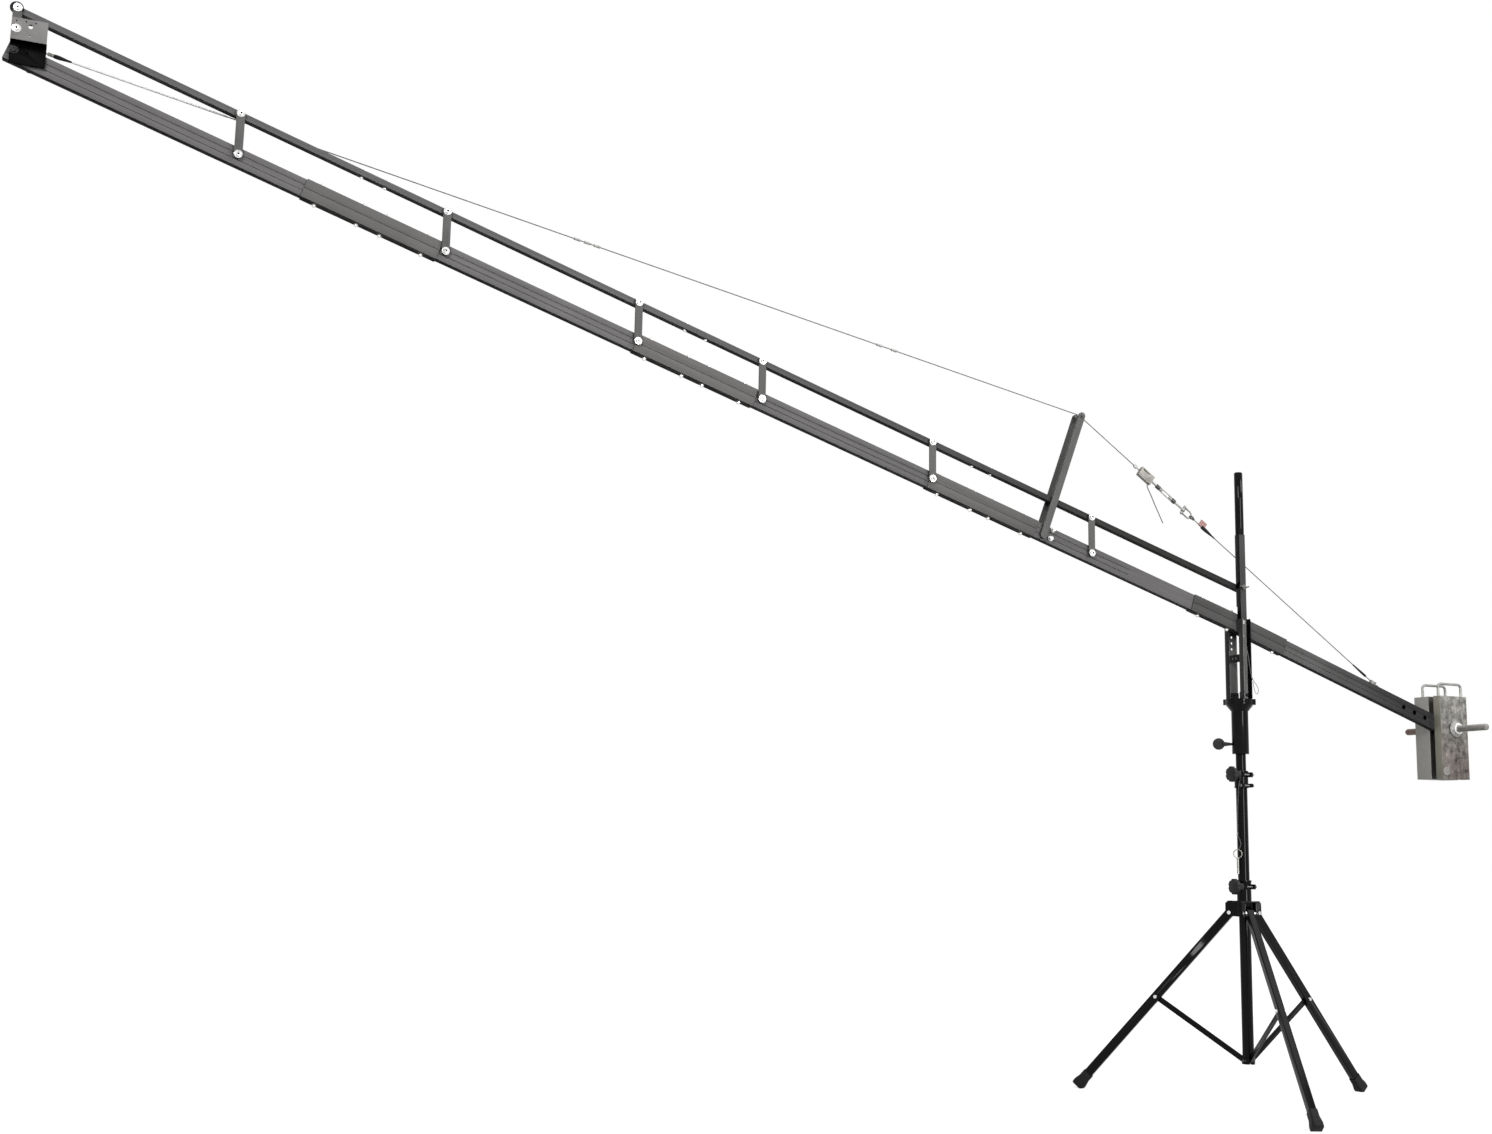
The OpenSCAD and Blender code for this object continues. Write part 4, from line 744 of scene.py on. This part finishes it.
finished(["splice_bolts", "boom_bolts", "rod_bolts"], 0, [zinc, socket_painted_shade, black_oxide_and_shade], bolt_face)
finished(["tilt_shaft", "leg_pins"], 0, [zinc])
dull_steel = shader("dull_steel", (0.12, 0.12, 0.116), 0.6, 0.36, patch=(60.0, 0.15))
finished(["rod_pivot_bolt", "stand_rivets"], 0, [dull_steel])
finished(["yoke_bolts"], 0, [zinc, black_oxide_and_shade], lambda f, c, s: 1 if c.z < 1.5 else 0)
pin_steel = shader("pin_steel", (0.3, 0.295, 0.27), 0.6, 0.4, patch=(60.0, 0.2))
for place in nodes["safety_pin"].material_slots:
    place.material = pin_steel

# Posts and king post
# Flat bar with rounded ends, coated like the boom. The king post is two such bars astride it.
post_coat = shader("post_coat", (0.12, 0.12, 0.117), 0.0, 0.55, specular=0.03, patch=(9.0, 0.1))
finished([f"post_{k}" for k in range(1, 7)], 0.0006, [post_coat])
finished(["king_post"], 0.0006, [post_coat, zinc], lambda f, c, s: 0 if s.z > 0.2 else 1)

# Head
# A link plate hangs from the last bolts. Its front is grey above and, as a painted shadow of the grey
# camera channel screwed to it, black below; its other faces and the channel's underside are painted shade.
plate_coat = shader("plate_coat", (0.21, 0.203, 0.2), 0.0, 0.5, specular=0.1, patch=(14.0, 0.08))
# Painted shade: near black for the link's faces other than its front, and for the channel's underside.
painted_shade_black = shader("plate_painted_shade", (0.004, 0.004, 0.004), 0.0, 0.5, specular=0.0, patch=(14.0, 0.3))
# Painted shadow: the link's front turns black below the camera channel.
link_coat_and_shadow = shader("link_coat_and_shadow", (0.12, 0.117, 0.115), 0.0, 0.45, specular=0.02, patch=(14.0, 0.1),
                   fade=("Z", 3.182, 3.174, (0.003, 0.003, 0.003)))
finished(["head_link"], 0.0005, [link_coat_and_shadow, painted_shade_black], lambda f, c, s: 1 if f.normal.y > -0.7 else 0)
plate_bolt = Vector((-4.2753, 0, 3.1487))
plate_front, plate_head = -0.0541, -0.0598


def plate_face(face, centre, size):
    """The channel is grey outside with a painted shade underside; its plated screw's socket is painted shade.
    """
    off_axis = math.hypot(face.center.x - plate_bolt.x, face.center.z - plate_bolt.z)
    if face.center.y < plate_front and off_axis < 0.013:
        in_socket = off_axis < socket_r and face.center.y > plate_head and face.area < washer_area
        return 2 if in_socket else 1
    return 3 if face.normal.z < -0.7 else 0


finished(["camera_plate"], 0.0006, [plate_coat, zinc, socket_painted_shade, painted_shade_black], plate_face)

# Yoke and monitor post
# Two folded channels stand on the pan sleeve's square head, tied by a crossbar. The monitor post
# is square tube with a glossy round sleeve on top.
yoke_coat = shader("yoke_coat", (0.17, 0.167, 0.163), 0.0, 0.5, specular=0.05, patch=(8.0, 0.12))
flange_painted_shade = shader("flange_painted_shade", (0.055, 0.055, 0.054), 0.0, 0.5, specular=0.1, patch=(8.0, 0.2))
# Black coat of the stand, pan sleeve and crossbar; on the channels' flanges and the post's -X faces it is
# painted shade.
black_coat_and_shade = shader("black_coat_and_shade", (0.002, 0.002, 0.0022), 0.0, 0.1, specular=0.1, patch=(16.0, 0.3),
                    spread=0.015, grain=(1400.0, 0.000002))
gloss = shader("gloss_black", (0.002, 0.002, 0.0022), 0.0, 0.08, specular=0.12, patch=(20.0, 0.2),
               spread=0.01, grain=(1400.0, 0.000001))
mast_coat = shader("mast_coat", (0.06, 0.06, 0.059), 0.0, 0.5, specular=0.03, patch=(9.0, 0.12))


def channel_face(face, centre, size):
    """The webs are grey; as painted shade, the near channel's forward flange is dark grey and the rest black.
    """
    if abs(face.normal.y) > 0.7 and abs(face.center.x) < 0.0165:
        return 0
    return 2 if face.center.y < 0 and face.normal.x < -0.9 and face.center.x < -0.0175 else 1


# Painted shade: each channel's flanges are black, and the near one's forward flange dark grey.
finished(["near_channel", "far_channel"], 0.0008, [yoke_coat, black_coat_and_shade, flange_painted_shade], channel_face)
finished(["yoke_crossbar", "pan_sleeve"], 0.0008, [black_coat_and_shade])
# Painted shade: the monitor post's faces turned to -X are black.
finished(["monitor_post"], 0.0008, [mast_coat, black_coat_and_shade], lambda f, c, s: 1 if f.normal.x < -0.7 else 0)
finished(["monitor_sleeve"], 0, [gloss])
crossbar_screws = merged("crossbar_screws", [
    turned(f"crossbar_screw_{k}", (-19.8, y, 1574), (1, 0, 0),
           [(0, 0), (0.3, 2.4), (1.4, 3.6), (1.85, 3.7), (1.9, 2.3), (8, 2.3), (8, 0)], dull_steel)
    for k, y in enumerate((-9, 9))])
placed(crossbar_screws, "yoke", "bright_fastener")

# Stand
# Black painted steel tube: outer and lifting columns, clamped collar, sliding hub with its three
# flattened leg tubes and their braces, and rubber feet.
finished(["column_outer", "inner_column", "bottom_hub", "column_collar", "leg_hub",
          "brace_1", "brace_2", "brace_3"], 0.0008, [black_coat_and_shade])
rubber = shader("foot_rubber", (0.012, 0.012, 0.012), 0.0, 0.6, specular=0.12, patch=(30.0, 0.2),
                grain=(700.0, 0.0001))
finished(["foot_1", "foot_2", "foot_3"], 0.0015, [rubber])
leg_turn = [math.radians(11.5 + 120 * k) for k in range(3)]
leg_half = 0.01215


def off_leg(k, c):
    """True where a face stands off the flat side of leg k: its rivets."""
    return abs(-c.x * math.sin(leg_turn[k]) + c.y * math.cos(leg_turn[k])) > leg_half


for k in range(3):
    finished([f"leg_{k + 1}"], 0, [black_coat_and_shade, zinc], lambda f, c, s, k=k: 1 if off_leg(k, f.center) else 0)

# Clamp knobs
# Moulded black discs with shallow finger flutes, each on a plated screw.
knob_plastic = shader("knob_plastic", (0.02, 0.02, 0.0205), 0.0, 0.5, specular=0.15, patch=(25.0, 0.15),
                      grain=(900.0, 0.00008))
knob_back, pan_knob_back = -0.0308, 0.0302
finished(["hub_knob", "collar_knob"], 0.0012, [knob_plastic, dull_steel],
         lambda f, c, s: 1 if f.center.x > knob_back else 0)
finished(["pan_knob"], 0.0012, [knob_plastic, dull_steel],
         lambda f, c, s: 1 if math.hypot(f.center.x, f.center.y) < pan_knob_back else 0)

# Cable hardware
# Pressed ferrules, tapered black sleeves over the ends, a wedge grip, a turnbuckle, a shackle and
# anchor lugs. A bare tag of faded red-brown sheet is folded round the cable below the shackle.
bare_steel = shader("bare_steel", (0.24, 0.236, 0.225), 0.75, 0.42, patch=(60.0, 0.25),
                    grain=(1500.0, 0.00003))
grip_steel = shader("grip_steel", (0.24, 0.228, 0.208), 0.4, 0.5, patch=(70.0, 0.2), grain=(900.0, 0.0001))
dark_steel = shader("dark_steel", (0.05, 0.05, 0.048), 0.5, 0.45, patch=(60.0, 0.3))
shrink = shader("black_sleeve", (0.008, 0.008, 0.008), 0.0, 0.5, specular=0.12, patch=(60.0, 0.2))
stay_way = on_stay(0, 1, 0, 0) - on_stay(0, 0, 0, 0)
front_along = front_way.normalized()


def on_front(s):
    return front_point((s - roller_s) / (front_s - roller_s))


ferrule = [(0, 2.15), (0.2, 3.9), (1.2, 4.5), (6, 4.5), (7.2, 3.9), (9, 3.9), (10.2, 4.5), (12, 4.5),
           (13.2, 3.9), (15, 3.9), (16.2, 4.5), (20.8, 4.5), (21.8, 3.9), (22, 2.15), (0, 2.15)]
crimps = [turned(f"ferrule_{k}", on_front(s) - front_along * 11, front_along, ferrule, bare_steel)
          for k, s in enumerate((2777, 2742, 2709, 1672, 1615))]
nut = [(0, 2.15), (0, 5), (1, 6), (13, 6), (14, 5), (14, 2.15), (0, 2.15)]
crimps.append(turned("stop_nut", on_stay(584, -7, 0, 0), stay_way, nut, bare_steel, sides=6))


def sleeve_over(name, start, way, length, wide, narrow):
    """A shrunk sleeve, full where it covers the folded end and close to the cable at the other."""
    steps = [(0, 2.15), (0, wide - 1), (2, wide), (0.3 * length, wide),
             (0.55 * length, 0.6 * wide + 0.4 * narrow), (0.8 * length, narrow + 0.5),
             (length - 1, narrow), (length, 2.15), (0, 2.15)]
    return turned(name, start, way, steps, shrink)


crimps.append(turned("head_eye_legs", on_front(front_s - 3), -front_along,
                     [(0, 2.15), (0, 5.6), (15, 5.2), (18, 4.2), (18, 2.15), (0, 2.15)], bare_steel))
crimps.append(sleeve_over("head_sleeve", on_front(front_s - 20), -front_along, 50, 6.3, 3.0))
crimps.append(sleeve_over("shackle_sleeve", on_stay(218, -35, 0, 0), stay_way, 68, 6.6, 2.6))
crimps.append(sleeve_over("rear_sleeve", on_stay(-574, 37, 0, 0), -stay_way, 72, 4.4, 2.6))
placed(merged("cable_crimps_finished", crimps), "boom", "wire_steel", "cable_crimps")

tag_red = shader("faded_tag", (0.37, 0.222, 0.21), 0.0, 0.6, specular=0.1, patch=(70.0, 0.12))
tag_rim = [on_stay(252, x, -0.9, z) for x, z in ((-15, 2), (-15, 22), (-13, 24), (13, 24), (15, 22), (15, 2))]
tag = prism("tag_sheet", tag_rim, (0, 1.8, 0), 0.3, tag_red)
tag_fold = turned("tag_fold", on_stay(252, -15, 0, 0), stay_way,
                  [(0, 2.15), (0, 3.1), (30, 3.1), (30, 2.15), (0, 2.15)], tag_red)
placed(merged("cable_tag", [tag, tag_fold]), "boom", "knob_plastic")

buckle_centre = on_stay(433, 0, 0, 0) / 1000
buckle_frame = 0.0315
finished(["turnbuckle_body"], 0, [bare_steel, dark_steel],
         lambda f, c, s: 1 if abs((f.center - buckle_centre).dot(stay_way)) > buckle_frame else 0)
finished(["cable_grip"], 0.001, [grip_steel])
finished(["cable_links"], 0, [bare_steel, dark_steel], lambda f, c, s: 0 if s.length > 0.045 else 1)
finished(["cable_roller"], 0, [bare_steel])


def anchor_face(face, centre, size):
    """The front strap and the rear lug are coated; their bolts, the eye and the fork are plated."""
    return 0 if size.z > 0.08 or (size.x > 0.034 and abs(size.y - 0.02) < 0.001) else 1


finished(["cable_anchors"], 0.0004, [post_coat, bare_steel], anchor_face)
lanyard_crimps = [("pin_cord_crimp", (-29.4, -8.7, 941), (-0.3, -0.1, -1), "stand"),
                  ("yoke_cord_crimp", (13.5, -58, 1502), (0.45, 0, -1), "yoke")]
for name, start, way, body in lanyard_crimps:
    placed(turned(name, start, way, [(0, 0), (0, 1.6), (0.5, 2.4), (4, 2.5), (5, 2.1), (6, 2.5), (9.5, 2.4),
                                     (10, 1.6), (10, 0)], bare_steel, sides=16), body, "wire_steel")

# Counterweights
# Two flame-cut steel flats, each with a welded handle of round bar, hung on a one inch bar. The near
# one is mottled and browner at its foot, and a round plug is set in it near the lower left corner.
bar_low, bar_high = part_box("weight_bar")
slab_top = 1.4814
handle_low = slab_top + 0.0016
slab_grey = shader("slab_grey", (0.21, 0.203, 0.189), 0.12, 0.5, specular=0.2, patch=(52.0, 0.7), spread=0.1,
                   grain=(300.0, 0.0003), streaks=(math.pi / 2, 9.0, 110.0, 0.3),
                   fade=("Z", 1.40, 1.22, (0.135, 0.116, 0.105)))
# Painted highlight: the near weight's eased edges are much lighter than its face.
slab_edge_painted_highlight = shader("slab_edge_painted_highlight", (0.42, 0.41, 0.39), 0.3, 0.4, patch=(40.0, 0.3))
slab_olive = shader("slab_olive", (0.3, 0.29, 0.235), 0.15, 0.55, patch=(12.0, 0.15), grain=(300.0, 0.0003))
slab_pale = shader("slab_pale", (0.36, 0.35, 0.33), 0.3, 0.5, patch=(12.0, 0.12), grain=(300.0, 0.0003))
# Painted shade: the far weight's side that faces the near one, across the narrow gap, is near black.
slab_gap_painted_shade = shader("slab_gap_painted_shade", (0.035, 0.034, 0.03), 0.2, 0.6, patch=(12.0, 0.3), grain=(300.0, 0.0003))
handle_steel = shader("handle_steel", (0.25, 0.246, 0.235), 0.6, 0.35, patch=(50.0, 0.2))


def slab_face(turned_away):
    """Handle, the side that faces turned_away, the eased edges with their painted highlight, and the rest."""
    def pick(face, centre, size):
        if face.center.z > handle_low:
            return 1
        if face.normal.dot(turned_away) > 0.9:
            return 2
        return 3 if max(abs(q) for q in face.normal) < 0.97 else 0
    return pick


finished(["weight_near"], 0.0014, [slab_grey, handle_steel, slab_olive, slab_edge_painted_highlight],
         slab_face(Vector((-1, 0, 0))))
finished(["weight_far"], 0.0014, [slab_pale, handle_steel, slab_gap_painted_shade, slab_pale],
         slab_face(Vector((0, -1, 0))))
plug_steel = shader("plug_steel", (0.24, 0.232, 0.218), 0.15, 0.45, specular=0.3, patch=(60.0, 0.25),
                    grain=(700.0, 0.0001))
plug_turn = [(0, 0), (0, 16.5), (1.6, 16.5), (3.2, 15.4), (3.4, 13.6), (2.7, 12.6), (2.8, 0)]
plug = turned("slab_plug", (917, -46.2, 1192), (0, -1, 0), plug_turn, plug_steel, sides=40)
placed(plug, "boom", "raw_steel")
tab_rim = [(1029, -34, 1362), (1043, -34, 1364), (1042, -34, 1352), (1033, -34, 1316), (1029, -34, 1318)]
tab = prism("slab_tab", tab_rim, (0, 9, 0), 0.8, plug_black)
placed(tab, "boom", "knob_plastic")
# Painted shade: the nut's flange behind its bright front is a darker steel.
flange_steel = shader("flange_steel", (0.74, 0.735, 0.725), 0.45, 0.32, patch=(60.0, 0.15))
nut_rim_painted_shade = shader("nut_rim_painted_shade", (0.24, 0.235, 0.225), 0.5, 0.42, patch=(60.0, 0.2))
nut_front = -0.0565
finished(["bar_nut"], 0.0008, [flange_steel, nut_rim_painted_shade], lambda f, c, s: 0 if f.center.y < nut_front else 1)

# The bar: its near half carries a coarse thread, its far end is rounded and rusty
bar_steel = shader("bar_steel", (0.2, 0.194, 0.182), 0.55, 0.38, patch=(40.0, 0.3), grain=(500.0, 0.0002),
                   fade=("Y", 0.06, 0.13, (0.12, 0.075, 0.062)))


def thread_tree():
    """Curve in, threaded bar out: its rings are drawn in to the thread's root and at both ends."""
    tree, ins = growing("threaded_bar", ("Radius", "Pitch", "Depth", "Thread End", "Near End", "Far End",
                                         "Centre X", "Centre Z"))
    path = resampled(tree, ins, arithmetic(tree, "DIVIDE", ins["Pitch"], 6.0))
    ring = tree.nodes.new("GeometryNodeCurvePrimitiveCircle")
    ring.inputs["Resolution"].default_value = 28
    joined(tree, ins["Radius"], ring.inputs["Radius"])
    skin = skinned(tree, path, ring.outputs["Curve"])
    spot = tree.nodes.new("ShaderNodeSeparateXYZ")
    joined(tree, tree.nodes.new("GeometryNodeInputPosition").outputs[0], spot.inputs[0])
    off_x = arithmetic(tree, "SUBTRACT", spot.outputs["X"], ins["Centre X"])
    off_z = arithmetic(tree, "SUBTRACT", spot.outputs["Z"], ins["Centre Z"])
    turn = arithmetic(tree, "DIVIDE", arithmetic(tree, "ARCTAN2", off_z, off_x), math.tau)
    phase = arithmetic(tree, "ADD", arithmetic(tree, "DIVIDE", spot.outputs["Y"], ins["Pitch"]), turn)
    groove = arithmetic(tree, "MULTIPLY", arithmetic(tree, "PINGPONG", phase, 0.5), 2.0)
    cut = arithmetic(tree, "MULTIPLY", groove, arithmetic(tree, "DIVIDE", ins["Depth"], ins["Radius"]))
    inside = arithmetic(tree, "LESS_THAN", spot.outputs["Y"], ins["Thread End"])
    scale = arithmetic(tree, "SUBTRACT", 1.0, arithmetic(tree, "MULTIPLY", cut, inside))
    chamfer_end = arithmetic(tree, "ADD", ins["Near End"], 0.003)
    near = ranged(tree, spot.outputs["Y"], ins["Near End"], chamfer_end, 0.84, 1.0)
    round_start = arithmetic(tree, "SUBTRACT", ins["Far End"], 0.007)
    far = ranged(tree, spot.outputs["Y"], round_start, ins["Far End"], 1.0, 0.55)
    ends = arithmetic(tree, "MULTIPLY", near, arithmetic(tree, "SQRT", far))
    scale = arithmetic(tree, "MULTIPLY", scale, ends)
    moved = tree.nodes.new("ShaderNodeCombineXYZ")
    joined(tree, arithmetic(tree, "MULTIPLY_ADD", off_x, scale, ins["Centre X"]), moved.inputs["X"])
    joined(tree, spot.outputs["Y"], moved.inputs["Y"])
    joined(tree, arithmetic(tree, "MULTIPLY_ADD", off_z, scale, ins["Centre Z"]), moved.inputs["Z"])
    drawn_in = tree.nodes.new("GeometryNodeSetPosition")
    joined(tree, skin, drawn_in.inputs["Geometry"])
    joined(tree, moved.outputs[0], drawn_in.inputs["Position"])
    given_out(tree, ins, drawn_in.outputs["Geometry"])
    return tree


bar_x, bar_z = 0.969, 1.355434
bar_ends = [(bar_x * 1000, y * 1000, bar_z * 1000) for y in (bar_low[1], bar_high[1])]
bar = grown("threaded_weight_bar", plain_path("bar_line", bar_ends), thread_tree(),
            {"Radius": 0.0127, "Pitch": 0.004, "Depth": 0.0012, "Thread End": -0.05,
             "Near End": bar_low[1], "Far End": bar_high[1], "Centre X": bar_x, "Centre Z": bar_z,
             "Finish": bar_steel}, smooth=math.radians(50))
placed(bar, "boom", "bar_steel", "weight_bar")
